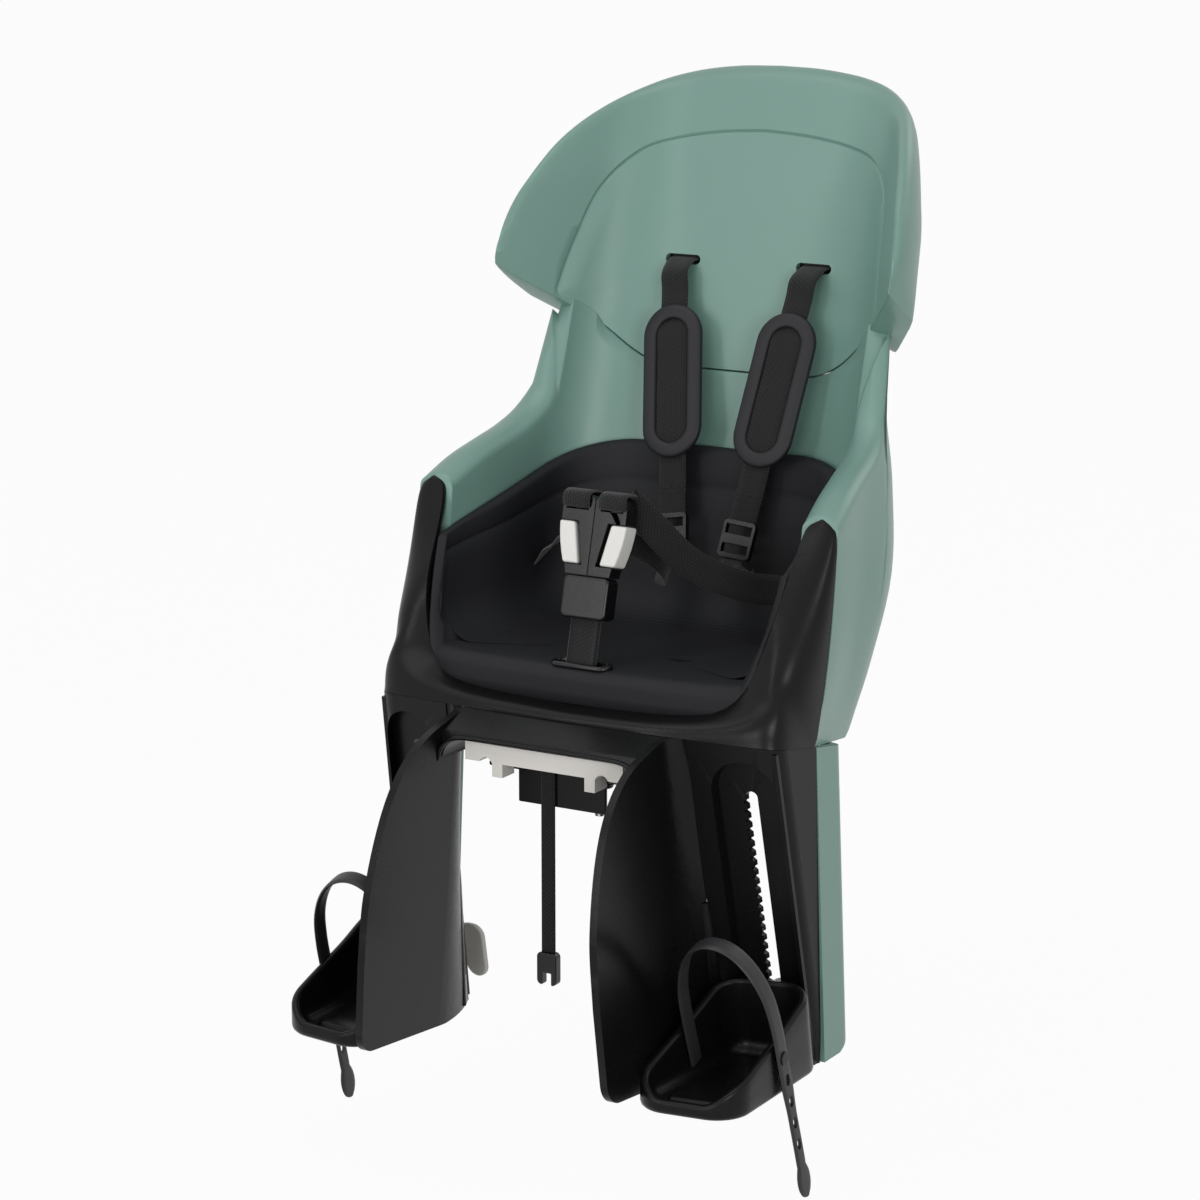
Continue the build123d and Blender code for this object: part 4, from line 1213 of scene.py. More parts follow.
@dataclass
class SeatPad:
    """The soft pad that lines the bucket: a seat with a rounded nose and a wall round the sides and back."""

    form: SeatForm
    gap: float = 0.6
    thick: float = 13.0
    seat_z: float = 72.0
    base_z: float = 46.0
    middle: Pair = (0.0, 62.0)
    hollow: float = 5.0
    front: tuple[Pair, ...] = ((157, 26), (160, 8), (161.4, -2), (160.3, -9), (155, -17), (145.5, -24.2),
                               (130, -31), (108, -36.5), (70, -40), (0, -41.5))
    vent: Pair = (52.0, 37.0)
    vent_size: Pair = (11.0, 5.0)
    vent_cut: Pair = (60.0, 90.0)
    wall_top: Triple = (144.8, 0.3, 0.922)
    brow_shift: float = 41.0
    brow_rise: float = 0.207
    bead: tuple[Pair, ...] = ((0.06, 0), (0.2, 0), (0.24, 0.9), (0.27, 1.6), (0.30, 0.9), (0.34, 0), (0.5, 0),
                              (0.75, 0), (1, 0))
    nose_edge: float = 10.0
    wall_edge: Pair = (3.2, 5.5)
    arm_thick: float = 9.0
    broaden: float = 1.15
    bend: float = 34.0

    def outline(self) -> list[Vector]:
        """Right half of the plan at seat height, from the middle of the back to the middle of the nose.

        Returns:
            The points.
        """
        first, last = self.form.bend
        places = [first * i / 6 for i in range(6)] + [blend(first, last, i / 20) for i in range(21)]
        points = [self.form.plan(u, self.seat_z, -self.gap, self.form.flare).xy for u in places]
        side = points.pop()
        points += [side.lerp(Vector(self.front[0]), i / 14) for i in range(14)]
        return points + through(self.front, 10)

    def top_z(self, y: float) -> float:
        """Height of the pad's edge over a point of the plan at seat height.

        Args:
            y: the point's y.

        Returns:
            The height.
        """
        start, rise, share = self.wall_top
        wall = (start + rise * y) / share
        brow = (y + self.brow_shift) / self.brow_rise
        return max(self.seat_z, min(wall, brow))

    def build(self, shop: Workshop) -> None:
        """Builds the pad from rings that go up its outside, over its edge and down to the middle of the seat.

        Args:
            shop: where the piece is finished.
        """
        half = self.outline()
        loop = half + [Vector((-p.x, p.y)) for p in reversed(half[1:-1])]
        middle = Vector(self.middle)
        columns = [self.column(point, -out_of(loop, i, middle), middle) for i, point in enumerate(loop)]
        rings = [list(ring) for ring in zip(*columns)]
        base = [Vector((middle.x, middle.y, self.base_z))] * len(loop)
        pad = from_rings("seat_pad_piece", [base, *rings], caps=False)
        cut(pad, self.vent_cutter())
        shop.dress(pad, "seat_pad")

    def column(self, point: Vector, inward: Vector, middle: Vector) -> list[Vector]:
        """Points of one section of the pad, from its base to the middle of the seat.

        Args:
            point: the outline's point at seat height.
            inward: direction to the inside of the pad there.
            middle: middle of the seat.

        Returns:
            The points.
        """
        top = self.top_z(point.y)
        high = top - self.seat_z
        walled = soft_step(high, 0.0, 30.0)
        lean = self.form.recline * soft_step(point.y, -40.0, -16.0)
        arm = soft_step(point.y, 10.0, 70.0)
        edge = blend(self.nose_edge, blend(*self.wall_edge, arm), walled)
        column = []

        def put(inset: float, z: float) -> None:
            """Adds a point that lies inside the outline by an inset."""
            x, y = point + inward * inset
            column.append(Vector((x, y + lean * max(0.0, z - self.seat_z), z)))

        put(3.0 * (1 - walled), self.base_z - 3.0 * (1 - walled))
        for i in range(5):
            put(0.0, blend(self.base_z + 4, top - edge, i / 4))
        for i in range(1, 9):
            turn = math.pi / 2 * (1 + walled) * i / 8
            put(edge * (1 - math.cos(turn)) * blend(1.0, self.broaden, walled), top - edge + edge * math.sin(turn))
        wide = edge * 2 * self.broaden if walled > 0.5 else edge
        turn_z = min(self.bend, max(0.0, high - edge) * 0.92)
        foot = self.seat_z + turn_z
        start = blend(top, top - edge, walled)
        thick = blend(edge, blend(self.arm_thick, self.thick, arm), walled)
        for share, deep in self.bead:
            inset = blend(wide, thick, min(1.0, share * 2)) - deep * walled + (1 - walled) * share * 0.5
            put(inset, blend(start, foot, share))
        for i in range(1, 9):
            turn = math.pi / 2 * i / 8
            put(thick + turn_z * (1 - math.cos(turn)) + (1 - walled) * (0.5 + i), foot - turn_z * math.sin(turn))
        last = column[-1]
        for i in range(1, 11):
            share = i / 10
            spot = last.lerp(Vector((middle.x, middle.y, last.z)), share)
            spot.z -= self.hollow * (1 - (1 - share) ** 2) * 0.6
            column.append(spot)
        return column

    def vent_cutter(self) -> bpy.types.Object:
        """Oval plug that cuts the small vent in the seat.

        Returns:
            The plug.
        """
        (x, y), (wide, deep) = self.vent, self.vent_size
        rings = [[Vector((x + wide * math.cos(t), y + deep * math.sin(t), z)) for t in circle(28)]
                 for z in self.vent_cut]
        return from_rings("vent_cutter", rings)


class RowOfParts:
    """Geometry Nodes group that sets small round ended parts in a row along a line."""

    def __init__(self) -> None:
        """Builds the node group once."""
        self.group = bpy.data.node_groups.new("row_along_line", "GeometryNodeTree")
        face = self.group.interface
        face.new_socket("Line", in_out="INPUT", socket_type="NodeSocketGeometry")
        for name, value in (("Spacing", 0.003), ("Length", 0.002), ("Radius", 0.0004)):
            face.new_socket(name, in_out="INPUT", socket_type="NodeSocketFloat").default_value = value
        face.new_socket("Material", in_out="INPUT", socket_type="NodeSocketMaterial")
        face.new_socket("Parts", in_out="OUTPUT", socket_type="NodeSocketGeometry")
        add, link = self.group.nodes.new, self.group.links.new
        source, result = add("NodeGroupInput"), add("NodeGroupOutput")
        points = add("GeometryNodeCurveToPoints")
        points.mode = "LENGTH"
        ball = add("GeometryNodeMeshUVSphere")
        ball.inputs["Segments"].default_value = 10
        ball.inputs["Rings"].default_value = 8
        ball.inputs["Radius"].default_value = 1.0
        half = add("ShaderNodeMath")
        half.operation = "MULTIPLY"
        half.inputs[1].default_value = 0.5
        size, aim = add("ShaderNodeCombineXYZ"), add("FunctionNodeAlignRotationToVector")
        aim.axis = "X"
        place, real, paint = (add("GeometryNodeInstanceOnPoints"), add("GeometryNodeRealizeInstances"),
                              add("GeometryNodeSetMaterial"))
        link(source.outputs["Line"], points.inputs["Curve"])
        link(source.outputs["Spacing"], points.inputs["Length"])
        link(source.outputs["Length"], half.inputs[0])
        link(half.outputs[0], size.inputs["X"])
        link(source.outputs["Radius"], size.inputs["Y"])
        link(source.outputs["Radius"], size.inputs["Z"])
        link(points.outputs["Tangent"], aim.inputs["Vector"])
        link(points.outputs["Points"], place.inputs["Points"])
        link(ball.outputs["Mesh"], place.inputs["Instance"])
        link(aim.outputs[0], place.inputs["Rotation"])
        link(size.outputs[0], place.inputs["Scale"])
        link(place.outputs[0], real.inputs[0])
        link(real.outputs[0], paint.inputs["Geometry"])
        link(source.outputs["Material"], paint.inputs["Material"])
        link(paint.outputs[0], result.inputs[0])

    def lay(self, name: str, lines: Sequence[Sequence[Vector]], material: bpy.types.Material, **sizes: float
            ) -> bpy.types.Object:
        """Lays rows along lines and turns them into one mesh.

        Args:
            name: the piece's name.
            lines: the rows' points, in millimetres.
            material: finish of the parts.
            sizes: inputs of the group by name, lengths in metres.

        Returns:
            The piece.
        """
        data = bpy.data.curves.new(name, "CURVE")
        data.dimensions = "3D"
        for points in lines:
            spline = data.splines.new("POLY")
            spline.points.add(len(points) - 1)
            for spot, point in zip(spline.points, points):
                spot.co = (*(point * MM), 1.0)
        guide = place_piece(name + "_guide", data)
        step = guide.modifiers.new("row", "NODES")
        step.node_group = self.group
        values = {"Material": material, **sizes}
        for item in self.group.interface.items_tree:
            if item.in_out == "INPUT" and item.name in values:
                step[item.identifier] = values[item.name]
        mesh = evaluated_mesh(guide)
        mesh.name = name
        bpy.data.objects.remove(guide)
        piece = place_piece(name, mesh)
        shade(piece, ROUND_ANGLE)
        return piece


@dataclass
class Harness:
    """Shoulder straps with ring pads, lap straps that twist towards the walls, and stitched ends."""

    shop: Workshop
    rows: RowOfParts
    slot: Triple = (61.8, 230.9, 360.5)
    fall: float = 0.355
    ends: tuple[tuple[str, float], ...] = (("left", 24.0), ("right", 43.0))
    end_z: float = 160.0
    ring_z: float = 264.0
    webbing: float = 25.0
    thick: float = 1.7
    ring: tuple[float, float, float, float] = (131.0, 54.0, 12.5, 8.0)
    ring_webbing: float = 29.5
    ring_span: tuple[Pair, Pair] = ((212.0, 222.0), (306.0, 316.0))
    heights: tuple[float, ...] = (351, 338, 322, 300, 278, 256, 234, 212, 190, 174, 160)
    waves: tuple[float, ...] = (1.5, 0.5, 1.0, 1.3, 0.6, 1.1, 0.8, 1.2, 0.6, 1.0, 0.8)
    stitch_rows: tuple[float, ...] = (205, 201, 180, 176)
    stitch_places: tuple[float, ...] = (-10, -5, 0, 5, 10)
    lower_width: float = 20.0
    view: Triple = (0.50, -0.84, 0.22)

    def spot(self, side: int, end: float, z: float, across: float = 0.0, lift: float = 0.0) -> Vector:
        """Point on a shoulder strap.

        Args:
            side: -1 or 1.
            end: the strap's x at its lower end.
            z: the height.
            across: distance from the middle of the strap.
            lift: distance in front of the strap's back.

        Returns:
            The point.
        """
        share = (self.slot[2] - z) / (self.slot[2] - self.end_z)
        x = blend(self.slot[0], end, share)
        y = self.slot[1] + self.fall * (z - self.slot[2])
        return Vector((side * x, y, z)) + self.across(side, end) * across + self.front() * lift

    def front(self) -> Vector:
        """Direction out of the straps' plane, towards the child."""
        return Vector((0, -1, self.fall)).normalized()

    def along(self, side: int, end: float) -> Vector:
        """Direction up a shoulder strap."""
        rise = self.slot[2] - self.end_z
        return Vector((side * (self.slot[0] - end), self.fall * rise, rise)).normalized()

    def across(self, side: int, end: float) -> Vector:
        """Direction across a shoulder strap."""
        return self.along(side, end).cross(self.front()).normalized()

    def shoulder(self, word: str, end: float) -> None:
        """Builds a shoulder strap that comes out of its slot and hangs to its adjuster.

        Args:
            word: left or right.
            end: the strap's x at its lower end.
        """
        side, across = SIDES[word], self.across(SIDES[word], end)
        slot_x = side * self.slot[0]
        points = [(slot_x, y, z, 1, 0, 0) for y, z in ((264, 360.2), (250, 360.6), (240, 359.4))]
        for z, wave in zip(self.heights, self.waves):
            points.append((*self.spot(side, end, z, lift=wave), *across))
        line, widths, (low, high) = [], [], self.ring_span
        for place in through(points, 5):
            share = soft_step(place[2], *low) * (1 - soft_step(place[2], *high))
            widths.append(blend(self.webbing, self.ring_webbing, share))
            line.append(Vector((*(Vector(place[:3]) + self.front() * 2.2 * share), *place[3:])))
        strap = ribbon(f"shoulder_strap_{word}_piece", line, widths, self.thick)
        self.shop.dress(strap, f"shoulder_strap_{word}")
        lines = [[self.spot(side, end, z, a, 2.0) for a in self.stitch_places] for z in self.stitch_rows]
        stitches = self.rows.lay(f"shoulder_stitches_{word}", lines, self.shop.materials[Slot.RING],
                                 Spacing=0.0026, Length=0.0021, Radius=0.00045)
        self.shop.finish(stitches, Slot.RING, "seat")

    def ring_pad(self, word: str, end: float) -> None:
        """Builds the long ring of rubber that lies on a shoulder strap.

        Args:
            word: left or right.
            end: the strap's x at its lower end.
        """
        side = SIDES[word]
        length, width, rim, thick = self.ring
        middle = self.spot(side, end, self.ring_z, lift=2.6)
        up, across, front = self.along(side, end), self.across(side, end), self.front()
        radius, reach = (width - rim) / 2, (length - width) / 2
        rings = []
        for turn in circle(88, 0.5):
            out = across * math.cos(turn) + up * math.sin(turn)
            centre = middle + up * math.copysign(reach, math.sin(turn)) + out * radius
            ring = []
            for a in circle(20):
                c, s = math.cos(a), math.sin(a)
                x = math.copysign(abs(c) ** 0.6, c) * rim / 2
                rise = math.copysign(abs(s) ** 0.55, s) * thick / 2 * (1 - 0.03 * x)
                ring.append(centre + out * x + front * rise)
            rings.append(ring)
        pad = from_rings(f"shoulder_pad_{word}_piece", rings, caps=False, wrap=True, angle=ROUND_ANGLE)
        self.shop.dress(pad, f"shoulder_pad_{word}")

    def wall_slot(self, word: str) -> None:
        """Builds the dark oblong guide in the pad's wall that the lap strap comes out of.

        Args:
            word: left or right.
        """
        side = SIDES[word]
        middle = Vector((side * 131.0, 122.0, 113.5))
        along = Vector((-side * 0.22, 0.86, 0.46)).normalized()
        out = Vector((-side * 0.95, -0.25, 0.05)).normalized()
        wide = out.cross(along).normalized()
        rings = []
        for size, lift in ((1.0, -4.0), (1.0, 0.6), (0.86, 1.6), (0.6, 1.4), (0.5, 0.2), (0.0, 0.0)):
            ring = []
            for turn in circle(28, 0.5):
                reach = math.copysign(15.0, math.cos(turn)) * (0.4 + 0.6 * size) + 7 * size * math.cos(turn)
                ring.append(middle + along * reach + wide * 7 * size * math.sin(turn) + out * lift)
            rings.append(ring)
        self.shop.finish(from_rings(f"lap_slot_{word}", rings, angle=40.0), Slot.CLIP, "seat")

    def bar_loop(self, x: float) -> list[tuple[float, ...]]:
        """Places of webbing that comes out of a slot in the buckle and goes back over its bar.

        Args:
            x: the loop's middle.

        Returns:
            Points with the direction across the webbing.
        """
        places = []
        for n, v in ((3, 73.5), (8.6, 72.2), (10.4, 75), (10.8, 79), (9.2, 83), (4, 85.2), (-4, 85.2), (-9.6, 82.5)):
            places.append((x, -17 + 0.2425 * v - 0.970 * n, 124 + 0.970 * v + 0.2425 * n, 1, 0, 0))
        return places

    def lap(self, word: str, end: float) -> None:
        """Builds a lap strap with the lower end of the shoulder strap sewn to it.

        Args:
            word: left or right.
            end: the strap's x at its lower end.
        """
        side, view = SIDES[word], Vector(self.view)
        low = self.end_z - 33.0
        sag, sewn = self.spot(side, end, low), (*self.spot(side, end, 134, lift=-1), *self.across(side, end))
        if word == "right":
            lap = [*self.bar_loop(16.5), (26, 14, 194, 0.75, 0.1, 0.55), (40, 24, 174, 0.3, 0.1, 0.9),
                   (57, 50, 145, 0.05, 0, 1), (85, 85, 124, 0, 0.25, 0.97), (107, 117, 117, -0.2, 0.6, 0.6),
                   (124, 138, 113, *-view), (139, 152, 112, *-view)]
            lower = [sewn, (sag.x + 2, sag.y - 10, low - 4, 1, 0, 0.1), (60, 128, 117, 0.8, 0.1, 0.5),
                     (76, 106, 120, 0.3, 0.3, 0.9), (88, 92, 128, 0, 0.25, 0.97)]
        else:
            lap = [*self.bar_loop(-16.5), (-20, 12, 188, 0.8, 0, -0.5), (-30, 16, 175, *view), (-68, 56, 153, *view),
                   (-105, 98, 134, *view), (-140, 137, 112, *view)]
            lower = [sewn, (sag.x + 4, sag.y - 12, low - 6, 1, 0, 0.1), (-6, 116, 118, 0.9, -0.2, 0.5),
                     (10, 92, 126, 0.4, -0.5, 0.8), (20, 60, 146, 0.3, -0.3, 0.9),
                     (8, 20, 166, 0.6, 0, 0.8)]
        strap = ribbon(f"lap_strap_{word}_piece", through(lap, 7), self.webbing, self.thick)
        self.shop.dress(strap, f"lap_strap_{word}")
        strap = ribbon(f"lower_strap_{word}_piece", through(lower, 7), self.lower_width, self.thick)
        self.shop.finish(strap, Slot.WEBBING, "seat")

    def build(self) -> None:
        """Builds the straps on both sides."""
        for word, end in self.ends:
            self.wall_slot(word)
            self.shoulder(word, end)
            self.ring_pad(word, end)
            self.lap(word, end)
            self.shop.copy_node(f"strap_adjuster_{word}", 1.3, 3)
        self.shop.copy_node("strap_keeper", 0.6)


@dataclass
class Buckle:
    """The buckle between the legs: two tongues with side buttons, a sleeve, a strap and its plate."""

    shop: Workshop
    foot: Triple = (0.0, -17.0, 124.0)
    waist: float = 20.0
    half: float = 29.0
    shoulder: float = 62.0
    low: float = 18.4
    top: float = 82.0
    thick: float = 17.0
    button: Pair = (27.0, 60.0)
    button_deep: float = 12.0
    button_reach: float = 9.2
    cut_reach: float = 20.0

    def at(self, x: float, v: float, n: float) -> Vector:
        """Point of the buckle: across it, up it and out of its front."""
        return Vector((x, self.foot[1] + 0.2425 * v - 0.9701 * n, self.foot[2] + 0.9701 * v + 0.2425 * n))

    def edge(self, v: float) -> float:
        """Half width of the buckle at a height."""
        return blend(self.waist, self.half, min(1.0, max(0.0, (v - self.low) / (self.shoulder - self.low))))

    def slab(self, name: str, side: int, outline: Sequence[Pair], reach: float) -> bpy.types.Object:
        """Plate with an outline that is given for the right half, as deep before as behind the middle."""
        return from_rings(name, [[self.at(side * x, v, n) for x, v in outline] for n in (-reach, reach)])

    def tongue(self, word: str) -> None:
        """Builds one half of the buckle's body, with its notch for the button and its strap slot.

        Args:
            word: left or right.
        """
        side = SIDES[word]
        outline = [(0.3, self.low), (self.waist, self.low), (self.half, self.shoulder), (self.half, 74), (26.5, 80),
                   (22, self.top), (4, self.top), (0.3, 78)]
        body = self.slab(f"buckle_tongue_{word}_piece", side, outline, self.thick / 2)
        low, high = self.button[0] - 0.8, self.button[1] + 0.8
        deep = self.button_deep + 3.4
        notch = [(self.edge(low) - deep, low), (self.edge(low) + 9, low), (self.edge(high) + 9, high),
                 (self.edge(high) - deep, high)]
        slot = [(5.5, 70), (26, 70), (26, 76), (5.5, 76)]
        tools = [self.slab(name, side, plan, self.cut_reach) for name, plan in (("notch", notch), ("slot", slot))]
        if side > 0:
            window = [(8, 75), (16, 68), (21.5, 60), (23.5, 52), (25.6, 54), (24, 63), (19.5, 71)]
            tools.append(self.slab("window", side, window, self.cut_reach))
        cut(body, *tools)
        round_edges(body, 1.1, 3)
        self.shop.dress(body, f"buckle_tongue_{word}")

    def press(self, word: str) -> None:
        """Builds a push button that stands a little proud of the body's front and side.

        Args:
            word: left or right.
        """
        side, (low, high) = SIDES[word], self.button
        outline = []
        for v in (blend(low, high, i / 4) for i in range(5)):
            outline.append((self.edge(v) + 2.0 + 1.2 * math.sin(math.pi * (v - low) / (high - low)), v))
        outline += [(self.edge(high) - self.button_deep, high), (self.edge(low) - self.button_deep, low)]
        body = self.slab(f"buckle_button_{word}_piece", side, outline, self.button_reach)
        round_edges(body, 2.0, 4, 25.0)
        self.shop.dress(body, f"buckle_button_{word}")

    def strap(self) -> None:
        """Builds the short stiff strap, with a bead along each edge."""
        rings, marks = [], []
        half = [(13, 0), (12.7, 1.3), (11.6, 1.9), (10.4, 1.2), (5, 1.15), (0, 1.15)]
        section = half + [(-x, y) for x, y in reversed(half)][1:]
        section = section + [(x, -y) for x, y in reversed(section[1:-1])]
        for i in range(9):
            v = blend(-54.0, -14.0, i / 8)
            rings.append([self.at(x, v, y * 1.6) for x, y in section])
            marks.append([(x * MM, v * MM) for x, _ in section])
        strap = from_rings("crotch_post_piece", rings, angle=STRAP_ANGLE, weave=marks)
        self.shop.dress(strap, "crotch_post")

    def plate(self) -> None:
        """Builds the oblong ring in the seat that the strap comes out of."""
        rings = []
        middle = Vector((0.0, -28.0, 72.0))
        for turn in circle(64, 0.5):
            out = Vector((math.cos(turn), math.sin(turn), 0.0))
            centre = middle + Vector((math.copysign(17.5, math.cos(turn)), 0, 0)) + out * 7.0
            rings.append([centre + out * 2.6 * math.cos(a) + Vector((0, 0, 2.4 * math.sin(a) + 1.0))
                          for a in circle(14)])
        plate = from_rings("crotch_plate_piece", rings, caps=False, wrap=True, angle=ROUND_ANGLE)
        self.shop.dress(plate, "crotch_plate")

    def build(self) -> None:
        """Builds the buckle's pieces."""
        for word in SIDES:
            self.tongue(word)
            self.press(word)
            self.shop.copy_node(f"button_spring_{word}", 0.2)
        self.shop.copy_node("buckle_sleeve", 2.4, 4)
        self.strap()
        self.plate()


@dataclass
class FootRest:
    """A foot tray that slides on its leg, with its rubber strap, its peg and its lock."""

    shop: Workshop
    word: str
    origin: Triple = (0.0, -112.0, -106.5)
    strap_width: float = 16.0
    strap_thick: float = 2.8
    hole_from: float = 96.0
    hole_pitch: float = 20.0
    hub: Pair = (161.8, -193.0)
    hub_y: float = 29.2
    foot_z: float = -231.0
    floor_z: float = -226.5
    rim: float = 3.5
    corners: tuple[Triple, ...] = ((119.6, -167, 25), (208.6, -156, 30), (208.6, -1, 26), (126, -13, 26))
    edge_z: tuple[Pair, ...] = ((-164, -213), (-150, -208), (-130, -200), (-100, -189.5), (-60, -176.5), (-25, -166),
                                (0, -160))
    middle: Pair = (164.0, -84.0)
    up: Triple = (0.0, -0.286, 0.958)
    arch: tuple[Pair, ...] = (
        (133.5, -116), (132.5, -94), (131.5, -70), (132, -46), (138, -22), (150, -6), (166, 0), (183, -5), (197, -20),
        (206.5, -42), (210.4, -68), (211.4, -96), (212.2, -120), (213, -150), (214, -180), (214.6, -205),
        (215.2, -226))
    tail_x: float = 180.0
    paddle: Triple = (210.5, 16.0, 19.0)
    hole: float = 2.9
    paddle_end: float = 10.6
    paddle_x: float = 137.0
    toe_z: float = -219.0
    lean: float = 0.19

    def at(self, x: float, v: float) -> Vector:
        """Point in the leaning plane of the foot strap."""
        return Vector(self.origin) + Vector((SIDES[self.word] * x, 0.0, 0.0)) + Vector(self.up) * v

    def strap(self) -> None:
        """Builds the rubber strap: an arch over the instep and a tail with holes and a paddle at its end."""
        normal = Vector((0.0, -self.up[2], self.up[1]))
        line = through([(*self.at(x, v), *normal) for x, v in self.arch], 6)
        strap = ribbon(f"foot_strap_{self.word}_piece", line, [self.width(place) for place in line], self.strap_thick)
        tools = []
        for i in range(5):
            drop = self.hole_from + self.hole_pitch * i
            rings = []
            for x in (195.0, 230.0):
                ring = []
                for a in circle(20, 0.5):
                    v = -drop + self.hole * math.cos(a) + (math.copysign(2.2, math.cos(a)) if i else 0.0)
                    ring.append(self.at(x, v) + normal * self.hole * math.sin(a))
                rings.append(ring)
            tools.append(from_rings("hole", rings))
        cut(strap, *tools)
        shade(strap, STRAP_ANGLE)
        self.shop.dress(strap, f"foot_strap_{self.word}")

    def width(self, place: Vector) -> float:
        """Width of the foot strap, whose tail is narrower and ends in a paddle.

        Args:
            place: a place on the strap's line.

        Returns:
            The width.
        """
        if place[0] * SIDES[self.word] <= self.tail_x:
            return self.strap_width
        drop = -(Vector(place[:3]) - Vector(self.origin)).dot(Vector(self.up))
        wide = self.strap_width - 3.5 * soft_step(drop, 120.0, 150.0)
        if drop <= 196:
            return wide
        middle, reach, most = self.paddle
        bulge = max(0.0, 1 - ((drop - middle) / reach) ** 2)
        return max(wide * (1 - soft_step(drop, 196, 205)), most * math.sqrt(bulge), 1.2)

    @staticmethod
    def arc(x: float, z: float, radius: float, start: float, sweep: float, steps: int) -> list[Pair]:
        """Points of an arc.

        Args:
            x: x of its middle.
            z: height of its middle.
            radius: its radius.
            start: where it starts, in half turns.
            sweep: how far it goes, in half turns.
            steps: number of runs between its points.

        Returns:
            The points.
        """
        turns = [math.pi * (start + sweep * i / steps) for i in range(steps + 1)]
        return [(x + radius * math.cos(a), z + radius * math.sin(a)) for a in turns]

    def lever(self) -> None:
        """Builds the lock lever: a hub on the stem and a paddle that hangs clear of the leg on its inner side."""
        side, (x, z) = SIDES[self.word], self.hub
        outline = self.arc(self.paddle_x, -215.5, self.paddle_end, 1.0, 1.0, 12)
        outline += [(148.2, -205.0), (151.5, -202.4)]
        outline += self.arc(x, z, 10.5, -0.6, 1.1, 14)
        outline += [(150.0, -180.6), (143.0, -178.8)]
        outline += self.arc(self.paddle_x, -189.2, self.paddle_end, 0.5, 0.5, 8)
        rings = []
        for off in (-3.0, 3.0):
            rings.append([Vector((side * px, self.hub_y + off + self.lean * (z - pz) + 0.144 * (px - x), pz))
                          for px, pz in outline])
        piece = from_rings(f"lock_lever_{self.word}_piece", rings)
        round_edges(piece, 1.5, 3)
        self.shop.dress(piece, f"lock_lever_{self.word}")

    def outline(self) -> list[tuple[Vector, Vector]]:
        """Tray's plan with round corners.

        Returns:
            Points and the directions inwards at them.
        """
        spots, count = [], len(self.corners)
        for i, (x, y, radius) in enumerate(self.corners):
            here = Vector((x, y))
            one = (Vector(self.corners[i - 1][:2]) - here).normalized()
            two = (Vector(self.corners[(i + 1) % count][:2]) - here).normalized()
            half = one.angle(two) / 2
            centre = here + (one + two).normalized() * radius / math.sin(half)
            first, last = (here + way * radius / math.tan(half) for way in (one, two))
            for k in range(11):
                out = ((first - centre).normalized().lerp((last - centre).normalized(), k / 10)).normalized()
                spots.append((centre + out * radius, -out))
            following = self.corners[(i + 1) % count]
            nxt = Vector(following[:2])
            after = Vector(self.corners[(i + 2) % count][:2])
            turn = (here - nxt).angle(after - nxt) / 2
            stop = nxt - two * following[2] / math.tan(turn)
            spots += [(last.lerp(stop, k / 12), spots[-1][1]) for k in range(1, 12)]
        return spots

    def top_z(self, spot: Vector) -> float:
        """Height of the tray's rim over a point of its plan.

        Args:
            spot: the point.

        Returns:
            The height.
        """
        side = along_table(self.edge_z, spot.y)
        dip = soft_step(-spot.y, 128.0, 146.0) * (1 - soft_step(abs(spot.x - self.middle[0]), 16.0, 41.0))
        return blend(side, self.toe_z, dip)

    def tray(self) -> None:
        """Builds the tray: a dish with a rolled rim, dipped at the toe, and a raised sole plate."""
        side, columns = SIDES[self.word], []
        x, y = side * self.middle[0], self.middle[1]
        for spot, inward in self.outline():
            top, column = self.top_z(spot) - self.rim, []
            curve = min(13.0, max(2.5, top - self.floor_z - 1.0))
            back = soft_step(spot.y, -80.0, -20.0)

            def put(inset: float, z: float) -> None:
                """Adds a point that lies inside the plan by an inset."""
                edge = spot + inward * inset
                column.append(Vector((side * edge.x, edge.y - self.lean * back * (z - self.foot_z), z)))

            for inset, z in ((6.0, 0.0), (2.4, 0.7), (0.7, 2.4), (0.0, 5.0)):
                put(inset, self.foot_z + z)
            for share in (0.33, 0.67, 1.0):
                put(0.0, blend(self.foot_z + 5.0, top, share))
            for i in range(1, 8):
                turn = math.pi * i / 8
                put(self.rim * (1 - math.cos(turn)), top + self.rim * math.sin(turn))
            for share in (0.0, 0.5, 1.0):
                put(2 * self.rim + 0.8 * share, blend(top, self.floor_z + curve, share))
            for i in range(1, 7):
                turn = math.pi / 2 * i / 6
                put(2 * self.rim + 0.8 + curve * (1 - math.cos(turn)), self.floor_z + curve * (1 - math.sin(turn)))
            for inset, rise in ((21.2, 0.0), (21.9, 0.9), (22.9, 2.2), (24.0, 2.8)):
                put(inset, self.floor_z + rise)
            last = column[-1]
            for share in (0.4, 0.75, 1.0):
                column.append(last.lerp(Vector((x, y, last.z)), share))
            columns.append(column)
        rings = [[Vector((x, y, self.foot_z))] * len(columns), *zip(*columns)]
        piece = from_rings(f"foot_tray_{self.word}_piece", rings, caps=False, angle=42.0)
        self.shop.dress(piece, f"foot_tray_{self.word}")

    def guide(self) -> None:
        """Builds the block behind the tray that runs in the leg's recess."""
        rings = []
        for z in (-226.0, -174.0):
            drop = 34.0 - z
            rings.append([Vector((SIDES[self.word] * (x + 0.043 * drop), y + self.lean * drop, z))
                          for x, y in ((128, -62), (176, -62), (176, -37.2), (128, -44.1))])
        piece = from_rings(f"tray_guide_{self.word}", rings)
        round_edges(piece, 1.2, 3)
        self.shop.finish(piece, Slot.FRAME, f"foot_rest_{self.word}")

